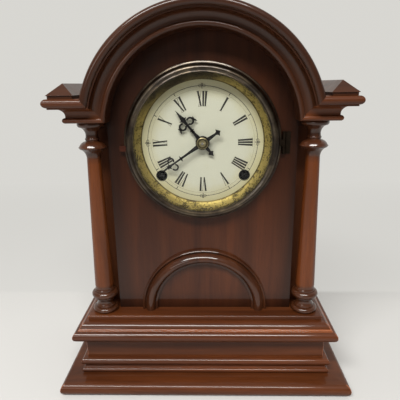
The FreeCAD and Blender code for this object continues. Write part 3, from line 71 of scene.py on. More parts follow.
class ClockSizes(bpy.types.PropertyGroup):
    """Sizes of the printed dial, the hands and the eased edges."""
    numeral_foot: bpy.props.FloatProperty(
        name="Numeral foot", description="Radius of the inner end of the numerals", default=0.0328, unit="LENGTH")
    numeral_head: bpy.props.FloatProperty(
        name="Numeral head", description="Radius of the outer end of the numerals", default=0.0463, unit="LENGTH")
    stroke: bpy.props.FloatProperty(
        name="Thick stroke", description="Width of a numeral's thick stroke", default=0.00162, unit="LENGTH")
    stroke_gap: bpy.props.FloatProperty(
        name="Stroke gap", description="Gap between neighbouring strokes", default=0.00064, unit="LENGTH")
    letter_width: bpy.props.FloatProperty(
        name="Letter width", description="Width of a V or an X", default=0.0037, unit="LENGTH")
    hairline: bpy.props.FloatProperty(
        name="Hairline", description="Width of serifs, thin strokes and the minute track", default=0.0003,
        unit="LENGTH")
    track_radius: bpy.props.FloatProperty(
        name="Minute track", description="Radius of the outer circle of the minute track", default=0.0508,
        unit="LENGTH")
    track_gap: bpy.props.FloatProperty(
        name="Track gap", description="From the outer to the inner circle of the track", default=0.0030, unit="LENGTH")
    long_tick: bpy.props.FloatProperty(
        name="Long tick", description="Length of a five-minute tick", default=0.0026, unit="LENGTH")
    short_tick: bpy.props.FloatProperty(
        name="Short tick", description="Length of a minute tick", default=0.0012, unit="LENGTH")
    mark_radius: bpy.props.FloatProperty(
        name="Quarter mark", description="Radius of the loops of a quarter mark", default=0.0012, unit="LENGTH")
    mark_bead: bpy.props.FloatProperty(
        name="Quarter bead", description="Radius of the bead over a quarter mark", default=0.0007, unit="LENGTH")
    hole_rim: bpy.props.FloatProperty(
        name="Hole rim", description="Radius of the black rim round a winding hole", default=0.0053, unit="LENGTH")
    print_height: bpy.props.FloatProperty(
        name="Print height", description="How far the print stands off the dial", default=0.00005, unit="LENGTH")
    scroll_wire: bpy.props.FloatProperty(
        name="Scroll wire", description="Width of the scrolls on the hands", default=0.0017, unit="LENGTH")
    ease: bpy.props.FloatProperty(
        name="Eased edge", description="Width of the worn edge of a board", default=0.0006, unit="LENGTH")


class ClockFinish(bpy.types.PropertyGroup):
    """Colours of the finishes."""
    wood_dark: bpy.props.FloatVectorProperty(
        name="Wood, dark", description="Dark grain of the polished wood", subtype="COLOR",
        default=(0.032, 0.0082, 0.0030))
    wood_mid: bpy.props.FloatVectorProperty(
        name="Wood, middle", description="Main colour of the polished wood", subtype="COLOR",
        default=(0.086, 0.0250, 0.0082))
    wood_light: bpy.props.FloatVectorProperty(
        name="Wood, light", description="Light grain of the polished wood", subtype="COLOR",
        default=(0.135, 0.044, 0.0155))
    bronze: bpy.props.FloatVectorProperty(
        name="Bezel bronze", description="Dark patina of the bezel", subtype="COLOR", default=(0.026, 0.018, 0.012))
    bronze_worn: bpy.props.FloatVectorProperty(
        name="Worn bronze", description="Rubbed places of the bezel", subtype="COLOR", default=(0.125, 0.094, 0.058))
    gilt: bpy.props.FloatVectorProperty(
        name="Gilt", description="Bright gilt of the sight ring", subtype="COLOR", default=(0.375, 0.290, 0.090))
    tarnish: bpy.props.FloatVectorProperty(
        name="Tarnish", description="Tarnished spots of the gilt", subtype="COLOR", default=(0.10, 0.075, 0.022))
    dial_white: bpy.props.FloatVectorProperty(
        name="Dial paint", description="Painted middle of the dial", subtype="COLOR", default=(0.47, 0.465, 0.385))
    dial_yellow: bpy.props.FloatVectorProperty(
        name="Aged paint", description="Yellowed rim of the dial", subtype="COLOR", default=(0.42, 0.375, 0.200))
    ink: bpy.props.FloatVectorProperty(
        name="Ink", description="Printed numerals", subtype="COLOR", default=(0.018, 0.016, 0.014))
    ink_faded: bpy.props.FloatVectorProperty(
        name="Faded ink", description="Worn places of the print", subtype="COLOR", default=(0.16, 0.14, 0.11))
    blued_steel: bpy.props.FloatVectorProperty(
        name="Blued steel", description="Blackened hands", subtype="COLOR", default=(0.020, 0.019, 0.020))
    brass: bpy.props.FloatVectorProperty(
        name="Brass", description="Aged brass of washer, hinges and movement", subtype="COLOR",
        default=(0.48, 0.34, 0.13))
    steel: bpy.props.FloatVectorProperty(
        name="Steel", description="Bright steel of arbors, screws and springs", subtype="COLOR",
        default=(0.36, 0.36, 0.37))
    back_wood: bpy.props.FloatVectorProperty(
        name="Back wood", description="Plain unpolished wood of the back", subtype="COLOR",
        default=(0.155, 0.082, 0.040))


class ClockStage(bpy.types.PropertyGroup):
    """Floor, light and camera."""
    floor_colour: bpy.props.FloatVectorProperty(
        name="Floor", description="Colour of the pale floor", subtype="COLOR", default=(0.575, 0.572, 0.563))
    wall_colour: bpy.props.FloatVectorProperty(
        name="Room behind", description="Pale light from behind the clock", subtype="COLOR",
        default=(0.685, 0.675, 0.640))
    room_colour: bpy.props.FloatVectorProperty(
        name="Room in front", description="Dimmer light from in front of the clock", subtype="COLOR",
        default=(0.155, 0.148, 0.138))
    key_power: bpy.props.FloatProperty(
        name="Front lamp", description="Power of the soft lamp above and in front", default=38.8, unit="POWER")
    low_power: bpy.props.FloatProperty(
        name="Low lamp", description="Power of the low soft lamp in front on the left", default=3.0, unit="POWER")
    key_place: bpy.props.FloatVectorProperty(
        name="Front lamp place", description="Where the front lamp hangs", subtype="TRANSLATION",
        default=(-0.20, -0.98, 1.38))
    low_place: bpy.props.FloatVectorProperty(
        name="Low lamp place", description="Where the low lamp stands", subtype="TRANSLATION",
        default=(-0.75, -1.55, 0.60))
    floor_edge: bpy.props.FloatProperty(
        name="Floor edge", description="Where the floor passes into the pale backdrop", default=0.138, unit="LENGTH")
    lens: bpy.props.FloatProperty(
        name="Lens", description="Focal length on a 36 mm sensor, in millimetres", default=36.45)
    eye: bpy.props.FloatVectorProperty(
        name="Camera place", description="Where the camera stands", subtype="TRANSLATION",
        default=(0.0067, -0.3998, 0.2949))
    pitch: bpy.props.FloatProperty(
        name="Pitch", description="How far the camera looks down", subtype="ANGLE", default=math.radians(15.95))
    yaw: bpy.props.FloatProperty(
        name="Yaw", description="How far the camera turns left", subtype="ANGLE", default=math.radians(1.5))
    roll: bpy.props.FloatProperty(
        name="Roll", description="Lean of the camera", subtype="ANGLE", default=math.radians(-0.78))


# materials

def add(tree, kind, inputs=None, **settings):
    """Add a shader node, with its settings and with its inputs set or linked."""
    made = tree.nodes.new("ShaderNode" + kind)
    for key, value in settings.items():
        setattr(made, key, value)
    for key, value in (inputs or {}).items():
        if isinstance(value, bpy.types.NodeSocket):
            tree.links.new(value, made.inputs[key])
        else:
            made.inputs[key].default_value = value
    return made


def colour(value):
    """Four numbers of an opaque colour."""
    return (*value, 1.0)


def scaled(value, share):
    """A colour made lighter or darker."""
    return [part * share for part in value]


def tint(tree, share, first, second, mode="MIX"):
    """Mix two colours by a share."""
    return add(tree, "Mix", {0: share, 6: first, 7: second}, data_type="RGBA", blend_type=mode).outputs[2]


def ramp(tree, value, stops):
    """Turn a number into a colour along a list of stops."""
    made = add(tree, "ValToRGB", {"Fac": value})
    while len(made.color_ramp.elements) < len(stops):
        made.color_ramp.elements.new(0.5)
    for element, (place, shade) in zip(made.color_ramp.elements, stops):
        element.position = place
        element.color = colour(shade)
    return made.outputs["Color"]


def spread(tree, value, low, high, new_low=0.0, new_high=1.0):
    """Map a number from one range to another, held at the ends."""
    return add(tree, "MapRange", {"Value": value, "From Min": low, "From Max": high, "To Min": new_low,
                                  "To Max": new_high}).outputs["Result"]


def noise(tree, place, scale, detail=4.0, rough=0.55, twist=0.0):
    """A cloudy pattern."""
    return add(tree, "TexNoise", {"Vector": place, "Scale": scale, "Detail": detail, "Roughness": rough,
                                  "Distortion": twist}).outputs["Fac"]


def maths(tree, operation, first, second=0.0):
    """One sum of two numbers."""
    return add(tree, "Math", {0: first, 1: second}, operation=operation).outputs[0]


def start_material(name):
    """A new material with its main shader joined to its output."""
    material = bpy.data.materials.new(name)
    material.use_nodes = True
    tree = material.node_tree
    tree.nodes.clear()
    output = add(tree, "OutputMaterial")
    shader = add(tree, "BsdfPrincipled")
    tree.links.new(shader.outputs["BSDF"], output.inputs["Surface"])
    return material, tree, shader


def feed(tree, shader, **inputs):
    """Set or link sockets of the main shader by name."""
    for key, value in inputs.items():
        socket = shader.inputs[key.replace("_", " ")]
        if isinstance(value, bpy.types.NodeSocket):
            tree.links.new(value, socket)
        else:
            socket.default_value = value


def bump(tree, shader, height, depth, strength):
    """Raise the surface by a pattern."""
    made = add(tree, "Bump", {"Height": height, "Distance": depth, "Strength": strength})
    tree.links.new(made.outputs["Normal"], shader.inputs["Normal"])


def object_place(tree):
    """The point on the piece, in metres."""
    return add(tree, "TexCoord").outputs["Object"]


def room_direction(tree):
    """The direction that the room is looked at in."""
    return add(tree, "TexCoord").outputs["Generated"]


def stretched(tree, place, scale, offset=(0.0, 0.0, 0.0)):
    """The point with each direction scaled, so that a pattern runs along the grain."""
    return add(tree, "Mapping", {"Vector": place, "Scale": scale, "Location": offset}).outputs["Vector"]


def dial_reach(tree, place):
    """How far a point is from the dial's axis."""
    centred = stretched(tree, place, (1.0, 0.0, 1.0), (-DIAL_CENTRE.x, 0.0, -DIAL_CENTRE.z))
    return add(tree, "VectorMath", {0: centred}, operation="LENGTH").outputs["Value"]


def round_arch(tree, place):
    """The point laid out straight along an arch over the clock's middle."""
    parts = add(tree, "SeparateXYZ", {"Vector": place})
    rise = maths(tree, "SUBTRACT", parts.outputs["Z"], ARCH_CENTRE_Z)
    turn = maths(tree, "ARCTAN2", rise, parts.outputs["X"])
    squares = maths(tree, "ADD", maths(tree, "MULTIPLY", parts.outputs["X"], parts.outputs["X"]),
                    maths(tree, "MULTIPLY", rise, rise))
    reach = maths(tree, "SQRT", squares)
    length = maths(tree, "MULTIPLY", turn, 0.1)
    return add(tree, "CombineXYZ", {"X": length, "Y": parts.outputs["Y"], "Z": reach}).outputs["Vector"]


def polished_wood(name, finish, grain, tone, gloss, shaft=None, panel=False, warmth=(1.0, 1.0, 1.0), dull=0.08):
    """Polished mahogany with its grain along x, z or round the arch; a shaft has its own colour and gloss, and a panel
    has painted shade at its foot and sides and under the arch.
    """
    material, tree, shader = start_material(name)
    place = object_place(tree)
    parts = add(tree, "SeparateXYZ", {"Vector": place}).outputs
    if grain == "arch":
        place = round_arch(tree, place)
    stretch = (1.0, 1.0, 0.06) if grain == "z" else (0.06, 1.0, 1.0)
    along = stretched(tree, place, stretch)
    broad = noise(tree, along, 45.0, 5.0, 0.6, 0.8)
    streak = noise(tree, along, 260.0, 6.0, 0.62, 0.4)
    pores = noise(tree, along, 1500.0, 2.0, 0.5)
    cloud = noise(tree, place, 11.0, 3.0, 0.5)
    figure = maths(tree, "ADD", maths(tree, "MULTIPLY", broad, 0.6), maths(tree, "MULTIPLY", streak, 0.4))
    dark, middle, light = ([value * tone * share for value, share in zip(base, warmth)]
                           for base in (finish.wood_dark, finish.wood_mid, finish.wood_light))
    shade = ramp(tree, figure, [(0.28, dark), (0.50, middle), (0.74, light)])
    shade = tint(tree, spread(tree, cloud, 0.30, 0.7, 0.10, 0.50), shade, colour(middle))
    patch = spread(tree, noise(tree, along, 30.0, 4.0, 0.6, 1.2), 0.34, 0.66, 0.70, 1.24)
    shade = tint(tree, 1.0, shade, patch, "MULTIPLY")
    shade = tint(tree, spread(tree, pores, 0.58, 0.72, 0.0, 0.35), shade, colour(dark))
    weight = gloss
    if shaft:
        inside = maths(tree, "MULTIPLY", spread(tree, parts["Z"], SHAFT_LOW, SHAFT_LOW + 0.004),
                       spread(tree, parts["Z"], SHAFT_HIGH, SHAFT_HIGH - 0.008))
        shade = tint(tree, inside, shade, tint(tree, 1.0, shade, colour(shaft), "MULTIPLY"))
        weight = spread(tree, inside, 0.0, 1.0, gloss, gloss * 0.55)
    if panel:
        # painted shade: the panel darkens at its foot and along its sides next to the columns
        painted_edge_shade = maths(tree, "MULTIPLY", spread(tree, parts["Z"], PANEL_LOW.z, PANEL_LOW.z + 0.018, 0.45, 1.0),
                      spread(tree, maths(tree, "ABSOLUTE", parts["X"]), PANEL_HIGH.x, PANEL_HIGH.x - 0.022, 0.35, 1.0))
        # painted shadow of the arch: the panel darkens towards its top, and its coat thins there too
        painted_arch_shadow = spread(tree, parts["Z"], 0.12, 0.25, 1.0, 0.5)
        shade = tint(tree, 1.0, shade, maths(tree, "MULTIPLY", painted_edge_shade, painted_arch_shadow), "MULTIPLY")
        weight = spread(tree, parts["Z"], 0.11, 0.22, gloss, 0.10)
    rough = spread(tree, noise(tree, place, 90.0, 4.0), 0.3, 0.7, 0.38, 0.52)
    feed(tree, shader, Base_Color=shade, Roughness=rough, Specular_IOR_Level=0.12, Coat_Weight=weight,
         Coat_Roughness=dull, Coat_IOR=1.5)
    bump(tree, shader, maths(tree, "ADD", maths(tree, "MULTIPLY", streak, 0.6), pores), 0.00005, 0.35)
    return material


def plain_wood(name, finish):
    """Unpolished dusty wood of the back and inside."""
    material, tree, shader = start_material(name)
    place = object_place(tree)
    along = stretched(tree, place, (1.0, 1.0, 0.06))
    figure = noise(tree, along, 90.0, 6.0, 0.62, 0.7)
    base = finish.back_wood
    shade = ramp(tree, figure, [(0.30, scaled(base, 0.55)), (0.55, base), (0.78, scaled(base, 1.35))])
    dust = spread(tree, noise(tree, place, 22.0, 4.0), 0.45, 0.75, 0.0, 0.3)
    shade = tint(tree, dust, shade, (0.24, 0.19, 0.14, 1.0))
    feed(tree, shader, Base_Color=shade, Roughness=0.72, Specular_IOR_Level=0.3)
    bump(tree, shader, figure, 0.00025, 0.5)
    return material


def aged_metal(name, base, worn, rough, scale, pit=0.00004, front=None, rings=0.0, lacquer=0.0):
    """Metal with patchy patina, fine scratches and small pits; its front may be painted black as painted shade, or
    ringed by dark rings of painted groove shade.
    """
    material, tree, shader = start_material(name)
    place = object_place(tree)
    patch = noise(tree, place, scale, 6.0, 0.62, 0.3)
    speck = noise(tree, place, scale * 9.0, 3.0, 0.6)
    scratch = noise(tree, stretched(tree, place, (1.0, 1.0, 0.12)), scale * 12.0, 2.0)
    shade = tint(tree, spread(tree, patch, 0.42, 0.72), colour(base), colour(worn))
    shade = tint(tree, spread(tree, speck, 0.60, 0.74, 0.0, 0.6), shade, colour(scaled(base, 0.45)))
    height = maths(tree, "ADD", speck, maths(tree, "MULTIPLY", scratch, 0.5))
    if rings:
        # painted shade: dark rings stand in for the shade in turned grooves
        turns = maths(tree, "MULTIPLY", dial_reach(tree, place), 2 * math.pi / rings)
        painted_groove_shade = spread(tree, maths(tree, "SINE", turns), -0.95, -0.2)
        shade = tint(tree, painted_groove_shade, colour(scaled(base, 0.22)), shade)
    finish_rough = spread(tree, maths(tree, "ADD", patch, maths(tree, "MULTIPLY", scratch, 0.4)), 0.5, 1.0,
                          rough + 0.10, rough - 0.06)
    metal = 1.0
    # painted shade: the front before this y is black and dull, so that the winding holes look dark
    if front is not None:
        metal = spread(tree, add(tree, "SeparateXYZ", {"Vector": place}).outputs["Y"], front, front + 0.001)
        shade = tint(tree, metal, (0.004, 0.004, 0.004, 1.0), shade)
        finish_rough = maths(tree, "MAXIMUM", finish_rough, maths(tree, "SUBTRACT", 1.0, metal))
    feed(tree, shader, Base_Color=shade, Metallic=metal, Roughness=finish_rough, Coat_Weight=lacquer,
         Coat_Roughness=0.18)
    bump(tree, shader, height, pit, 0.6)
    return material


def gilt_metal(name, finish):
    """Bright gilding, rubbed and spotted with tarnish, with painted shade that darkens it to bronze under the top of
    the bezel and at its outer and inner edges.
    """
    material, tree, shader = start_material(name)
    place = object_place(tree)
    blotch = noise(tree, place, 85.0, 7.0, 0.72, 0.9)
    spot = noise(tree, place, 520.0, 5.0, 0.65, 0.4)
    share = spread(tree, maths(tree, "ADD", maths(tree, "MULTIPLY", blotch, 0.55),
                               maths(tree, "MULTIPLY", spot, 0.45)), 0.495, 0.585)
    shade = tint(tree, share, colour(finish.gilt), colour(finish.tarnish))
    # painted shade: the gilt darkens to bronze up under the top of the bezel, more on the left, and at its outer and
    # inner edges where it meets the bezel and the dial
    parts = add(tree, "SeparateXYZ", {"Vector": place}).outputs
    lean = maths(tree, "SUBTRACT", maths(tree, "ADD", parts["Z"], maths(tree, "MULTIPLY", blotch, 0.02)),
                 maths(tree, "MULTIPLY", parts["X"], 0.35))
    top = spread(tree, lean, DIAL_CENTRE.z + 0.050, DIAL_CENTRE.z + 0.070, 0.0, 0.92)
    reach = dial_reach(tree, place)
    ragged = maths(tree, "ADD", reach, maths(tree, "ADD", maths(tree, "MULTIPLY", spot, 0.007),
                                             maths(tree, "MULTIPLY", blotch, 0.005)))
    rim = spread(tree, ragged, *GILT_RIM_SHADE, 0.0, 0.85)
    lip_shade = spread(tree, reach, *GILT_LIP_SHADE, 0.0, 0.75)
    gilt_painted_shade = maths(tree, "MAXIMUM", maths(tree, "MAXIMUM", top, rim), lip_shade)
    shade = tint(tree, gilt_painted_shade, shade, colour(finish.bronze))
    feed(tree, shader, Base_Color=shade, Metallic=0.85, Roughness=spread(tree, share, 0.0, 1.0, 0.54, 0.66))
    bump(tree, shader, spot, 0.00026, 0.9)
    return material


def dial_paint(name, finish):
    """Cream paint that yellows towards the rim, with faint stains and hair cracks."""
    material, tree, shader = start_material(name)
    place = object_place(tree)
    reach = dial_reach(tree, place)
    cloud = noise(tree, place, 45.0, 5.0, 0.6, 0.4)
    wander = maths(tree, "MULTIPLY", maths(tree, "SUBTRACT", cloud, 0.5), 0.016)
    rim = spread(tree, maths(tree, "ADD", reach, wander), 0.040, 0.0595)
    shade = tint(tree, rim, colour(finish.dial_white), colour(finish.dial_yellow))
    stain = spread(tree, noise(tree, place, 130.0, 6.0, 0.7), 0.55, 0.85, 0.0, 0.22)
    shade = tint(tree, stain, shade, colour(finish.dial_yellow))
    cells = add(tree, "TexVoronoi", {"Vector": place, "Scale": 240.0}, feature="DISTANCE_TO_EDGE")
    crack = spread(tree, cells.outputs["Distance"], 0.0, 0.018, 0.16, 0.0)
    shade = tint(tree, crack, shade, (0.36, 0.30, 0.20, 1.0))
    feed(tree, shader, Base_Color=shade, Roughness=0.5, Specular_IOR_Level=0.35)
    bump(tree, shader, cloud, 0.00005, 0.4)
    return material


def printed_ink(name, finish, fade):
    """Printed ink, worn thin in places."""
    material, tree, shader = start_material(name)
    place = object_place(tree)
    wear = noise(tree, place, 700.0, 5.0, 0.65)
    patch = noise(tree, place, 90.0, 3.0, 0.5)
    share = spread(tree, maths(tree, "ADD", maths(tree, "MULTIPLY", wear, 0.5),
                               maths(tree, "MULTIPLY", patch, 0.5)), 0.66 - fade, 0.82 - fade, 0.0, 0.9)
    shade = tint(tree, share, colour(finish.ink), colour(finish.ink_faded))
    feed(tree, shader, Base_Color=shade, Roughness=0.55, Specular_IOR_Level=0.3)
    return material


def clear_glass(name):
    """Thin old glass: clear, with a reflection that grows at a slant."""
    material = bpy.data.materials.new(name)
    material.use_nodes = True
    tree = material.node_tree
    tree.nodes.clear()
    place = object_place(tree)
    wave = noise(tree, place, 22.0, 2.0)
    ripple = add(tree, "Bump", {"Height": wave, "Distance": 0.0004, "Strength": 0.12})
    slant = add(tree, "LayerWeight", {"Blend": 0.5, "Normal": ripple.outputs["Normal"]}).outputs["Facing"]
    mirror = maths(tree, "ADD", maths(tree, "MULTIPLY", maths(tree, "POWER", slant, 5.0), 0.6), 0.015)
    clear = add(tree, "BsdfTransparent", {"Color": (0.985, 0.99, 0.98, 1.0)})
    sheen = add(tree, "BsdfGlossy", {"Roughness": 0.03, "Normal": ripple.outputs["Normal"]})
    both = add(tree, "MixShader", {0: mirror, 1: clear.outputs[0], 2: sheen.outputs[0]})
    add(tree, "OutputMaterial", {"Surface": both.outputs[0]})
    return material


def make_finishes(finish):
    """Every finish of the clock, by name."""
    return {
        "wood_upright": polished_wood("mahogany_upright", finish, "z", 0.80, 0.16, dull=0.38),
        "wood_panel": polished_wood("mahogany_panel", finish, "z", 0.57, 0.50, panel=True, warmth=(1.12, 0.96, 0.78)),
        "wood_column": polished_wood("mahogany_column", finish, "z", 0.54, 0.85, shaft=(2.12, 1.80, 1.05)),
        "wood_level": polished_wood("mahogany_level", finish, "x", 0.90, 0.34, warmth=(1.0, 0.92, 0.76)),
        "wood_mould": polished_wood("mahogany_mould", finish, "x", 0.94, 0.50, warmth=(1.0, 0.90, 0.74)),
        # lighter edge finish: partly rubbed wear, partly a painted highlight along the edges
        "wood_worn_edge_highlight": polished_wood("mahogany_worn_edge_highlight", finish, "x", 2.9, 0.90),
        "wood_cap": polished_wood("mahogany_cap", finish, "x", 0.55, 0.40),
        "wood_arch": polished_wood("mahogany_arch", finish, "arch", 0.50, 0.48),
        "wood_hood": polished_wood("mahogany_hood", finish, "arch", 0.55, 0.16, dull=0.38),
        "wood_low_arch": polished_wood("mahogany_low_arch", finish, "z", 0.50, 0.75),
        "wood_back": plain_wood("back_wood", finish),
        "bronze": aged_metal("bezel_bronze", finish.bronze, finish.bronze_worn, 0.34, 60.0, lacquer=0.55),
        "hinge": aged_metal("hinge_bronze", scaled(finish.bronze, 0.55), finish.bronze, 0.5, 160.0),
        "gilt": gilt_metal("sight_ring_gilt", finish),
        "dial": dial_paint("dial_paint", finish),
        "ink": printed_ink("dial_ink", finish, 0.0),
        "faded_ink": printed_ink("dial_faded_ink", finish, 0.28),
        "tab": aged_metal("tab_copper", (0.078, 0.027, 0.018), (0.045, 0.019, 0.013), 0.45, 160.0),
        "glass": clear_glass("bezel_glass"),
        "blued": aged_metal("blued_steel", finish.blued_steel, scaled(finish.blued_steel, 2.4), 0.40, 200.0),
        "brass": aged_metal("aged_brass", finish.brass, scaled(finish.brass, 0.55), 0.34, 150.0),
        "washer": aged_metal("washer_brass", (0.34, 0.29, 0.16), (0.24, 0.20, 0.11), 0.34, 220.0, rings=0.0052),
        "plate": aged_metal("plate_brass_black_shade", finish.brass, scaled(finish.brass, 0.55), 0.34, 150.0,
                            front=PLATE_SHADE_FRONT),
        "winding": aged_metal("winding_brass_black_shade", finish.brass, scaled(finish.brass, 0.55), 0.34, 150.0,
                              front=WINDING_SHADE_FRONT),
        "steel": aged_metal("steel", finish.steel, scaled(finish.steel, 0.6), 0.32, 200.0),
        "bell": aged_metal("bell_metal", scaled(finish.brass, 1.1), scaled(finish.brass, 0.7), 0.26, 90.0),
        "iron": aged_metal("black_iron", (0.035, 0.033, 0.032), (0.075, 0.060, 0.050), 0.55, 240.0, 0.0001),
    }


finishes = {}


def finish_named(name):
    """A finish, made with the rest the first time that one is asked for."""
    if not finishes:
        finishes.update(make_finishes(bpy.context.scene.clock_finish))
    return finishes[name]


# pieces

def dress(name, *nodes):
    """Give CAD pieces a finish."""
    for label in nodes:
        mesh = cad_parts[label].data
        mesh.materials.clear()
        mesh.materials.append(finish_named(name))


def set_down(name, bm, body, finish, replaced=(), smooth=40.0, edge=None):
    """Turn a shape into a finished piece that rides on a body of the clock."""
    mesh = bpy.data.meshes.new(name)
    bm.to_mesh(mesh)
    bm.free()
    mesh.materials.append(finish_named(finish))
    if edge:
        mesh.materials.append(finish_named(edge))
    mesh.shade_smooth()
    mesh.set_sharp_from_angle(angle=math.radians(smooth))
    piece = bpy.data.objects.new(name, mesh)
    bpy.context.scene.collection.objects.link(piece)
    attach(piece, body)
    if replaced:
        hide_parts(*replaced)
    return piece


def eased(node, finish, body="case", edge=None):
    """Put a copy of a board, with its sharp edges worn round and maybe given a lighter finish that is partly rubbed
    wear and partly a painted highlight, in the board's place.
    """
    ease = bpy.context.scene.clock_sizes.ease
    bm = bmesh.new()
    bm.from_mesh(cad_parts[node].data)
    bmesh.ops.remove_doubles(bm, verts=bm.verts, dist=1e-6)
    bmesh.ops.dissolve_limit(bm, angle_limit=math.radians(0.6), verts=bm.verts, edges=bm.edges)
    sharp = [line for line in bm.edges if line.is_manifold and line.calc_face_angle() > math.radians(38.0)]
    worn = bmesh.ops.bevel(bm, geom=sharp, offset=ease, offset_type="OFFSET", segments=2, profile=0.5, affect="EDGES",
                           clamp_overlap=True, material=-1)["faces"]
    # the rounded edges take the lighter finish: partly rubbed wear, partly a painted highlight
    if edge:
        for face in worn:
            face.material_index = 1
    piece = set_down(node + "_eased", bm, body, finish, (node,), 50.0, edge)
    weighted = piece.modifiers.new("flat faces", "WEIGHTED_NORMAL")
    weighted.keep_sharp = True


def turned(bm, profile, steps, centre=DIAL_CENTRE):
    """Spin a profile of (radius, depth) points about the dial's axis and close it."""
    corners = [bm.verts.new(centre + Vector((radius, depth, 0.0))) for radius, depth in profile]
    edges = [bm.edges.new(pair) for pair in zip(corners, corners[1:] + corners[:1])]
    bmesh.ops.spin(bm, geom=corners + edges, cent=centre, axis=(0.0, 1.0, 0.0), angle=2 * math.pi, steps=steps,
                   use_merge=True)


def ring(bm, radius, width, height, steps, centre):
    """A flat ring on the dial."""
    inner = radius - width / 2
    outer = radius + width / 2
    turned(bm, [(inner, 0.0), (inner, -height), (outer, -height), (outer, 0.0)], steps, centre)


def stroke(bm, start, end, width, pieces=1):
    """A straight stroke from one point to another, flat in x and z."""
    start = Vector(start)
    end = Vector(end)
    run = end - start
    middle = (start + end) / 2
    lean = math.atan2(run.x, run.y)
    spot = (Matrix.Translation((middle.x, 0.0, middle.y)) @ Matrix.Rotation(lean, 4, "Y")
            @ Matrix.Rotation(math.radians(90.0), 4, "X"))
    size = Matrix.Diagonal((width, run.length, 1.0, 1.0))
    return bmesh.ops.create_grid(bm, x_segments=1, y_segments=pieces, size=0.5, matrix=spot @ size)["verts"]


def bend_round(verts, middle, turn):
    """Wrap strokes drawn on a straight line round the dial, at an hour's place."""
    for vert in verts:
        bearing = turn + vert.co.x / middle
        reach = vert.co.z
        vert.co = DIAL_CENTRE + Vector((reach * math.sin(bearing), vert.co.y, reach * math.cos(bearing)))


def thicken(bm, height):
    """Give flat print a body that stands off the dial."""
    bmesh.ops.recalc_face_normals(bm, faces=bm.faces)
    for face in bm.faces:
        if face.normal.y > 0.0:
            face.normal_flip()
    lifted = bmesh.ops.extrude_face_region(bm, geom=bm.faces[:], use_keep_orig=True)["geom"]
    bmesh.ops.translate(bm, verts=[item for item in lifted if isinstance(item, bmesh.types.BMVert)],
                        vec=(0.0, -height, 0.0))
    bmesh.ops.recalc_face_normals(bm, faces=bm.faces)


def on_dial(turn, radius):
    """The point on the dial at a turn from twelve and a distance from the middle."""
    return DIAL_CENTRE + Vector((math.sin(turn), 0.0, math.cos(turn))) * radius


def clear_of_holes(spot, rim):
    """Whether a point lies outside the rims of the winding holes."""
    return min((spot - hole).length for hole in HOLES) > rim


def track(bm, radius, width, rim):
    """A thin circle round the dial, broken at the winding holes."""
    half = radius * math.radians(0.5)
    for step in range(360):
        turn = math.radians(step)
        if clear_of_holes(on_dial(turn, radius), rim):
            bend_round(stroke(bm, (-half, radius), (half, radius), width), radius, turn)
    bmesh.ops.remove_doubles(bm, verts=bm.verts, dist=1e-7)


def clear_holes(bm, rim):
    """Push print that reaches over a winding hole back to the hole's rim."""
    for vert in bm.verts:
        for hole in HOLES:
            away = vert.co - hole
            if away.length < rim:
                vert.co = hole + away.normalized() * rim


def numeral(bm, fine, text, turn, sizes):
    """Write one numeral: thick strokes in one shape, hairlines and serifs in the other."""
    foot = sizes.numeral_foot
    head = sizes.numeral_head
    middle = (foot + head) / 2
    thick = sizes.stroke
    hair = sizes.hairline
    widths = {"I": thick, "V": sizes.letter_width, "X": sizes.letter_width}
    total = sum(widths[letter] for letter in text) + sizes.stroke_gap * (len(text) - 1)
    left = -total / 2
    heavy = []
    thin = []
    for letter in text:
        right = left + widths[letter]
        if letter == "I":
            centre = (left + right) / 2
            heavy += stroke(bm, (centre, foot), (centre, head), thick)
            for end in (foot + hair / 2, head - hair / 2):
                thin += stroke(fine, (left - thick * 0.32, end), (right + thick * 0.32, end), hair, 2)
        elif letter == "V":
            point = (left + right) / 2
            heavy += stroke(bm, (left + thick * 0.5, head), (point - hair, foot), thick * 0.9)
            thin += stroke(fine, (right - hair, head), (point, foot), hair * 1.3)
            thin += stroke(fine, (left - hair, head - hair / 2), (left + thick + hair, head - hair / 2), hair, 2)
            thin += stroke(fine, (right - thick * 0.7, head - hair / 2), (right + hair, head - hair / 2), hair, 2)
        else:
            heavy += stroke(bm, (left + thick * 0.5, head), (right - thick * 0.5, foot), thick * 0.9)
            thin += stroke(fine, (right - hair, head), (left + hair, foot), hair * 1.3)
            for end in (foot + hair / 2, head - hair / 2):
                thin += stroke(fine, (left - hair, end), (right + hair, end), hair, 3)
        left = right + sizes.stroke_gap
    bend_round(heavy, middle, turn)
    bend_round(thin, middle, turn)


def mirrored(half):
    """An outline from its right half, given as (half width, along) points."""
    left = [(-across, along) for across, along in half]
    right = [(across, along) for across, along in reversed(half) if across]
    return left + right


def flat_shape(bm, outline, depth):
    """A flat plate cut to an outline of (across, along) points."""
    corners = [bm.verts.new((across, 0.0, along)) for across, along in outline]
    face = bm.faces.new(corners)
    lifted = bmesh.ops.extrude_face_region(bm, geom=[face], use_keep_orig=True)["geom"]
    fresh = [item for item in lifted if isinstance(item, bmesh.types.BMVert)]
    bmesh.ops.translate(bm, verts=fresh, vec=(0.0, -depth, 0.0))


def scroll(bm, centre, radius, start, sweep, wire, depth):
    """A scroll bent from flat wire: part of a ring."""
    outer = radius + wire / 2
    inner = radius - wire / 2
    corners = []
    for reach, level in ((inner, 0.0), (outer, 0.0), (outer, -depth), (inner, -depth)):
        corners.append(bm.verts.new((centre[0] + reach * math.cos(start), level, centre[1] + reach * math.sin(start))))
    face = bm.faces.new(corners)
    bmesh.ops.spin(bm, geom=[face], cent=(centre[0], 0.0, centre[1]), axis=(0.0, -1.0, 0.0), angle=sweep,
                   steps=max(6, int(abs(sweep) / 0.3)))


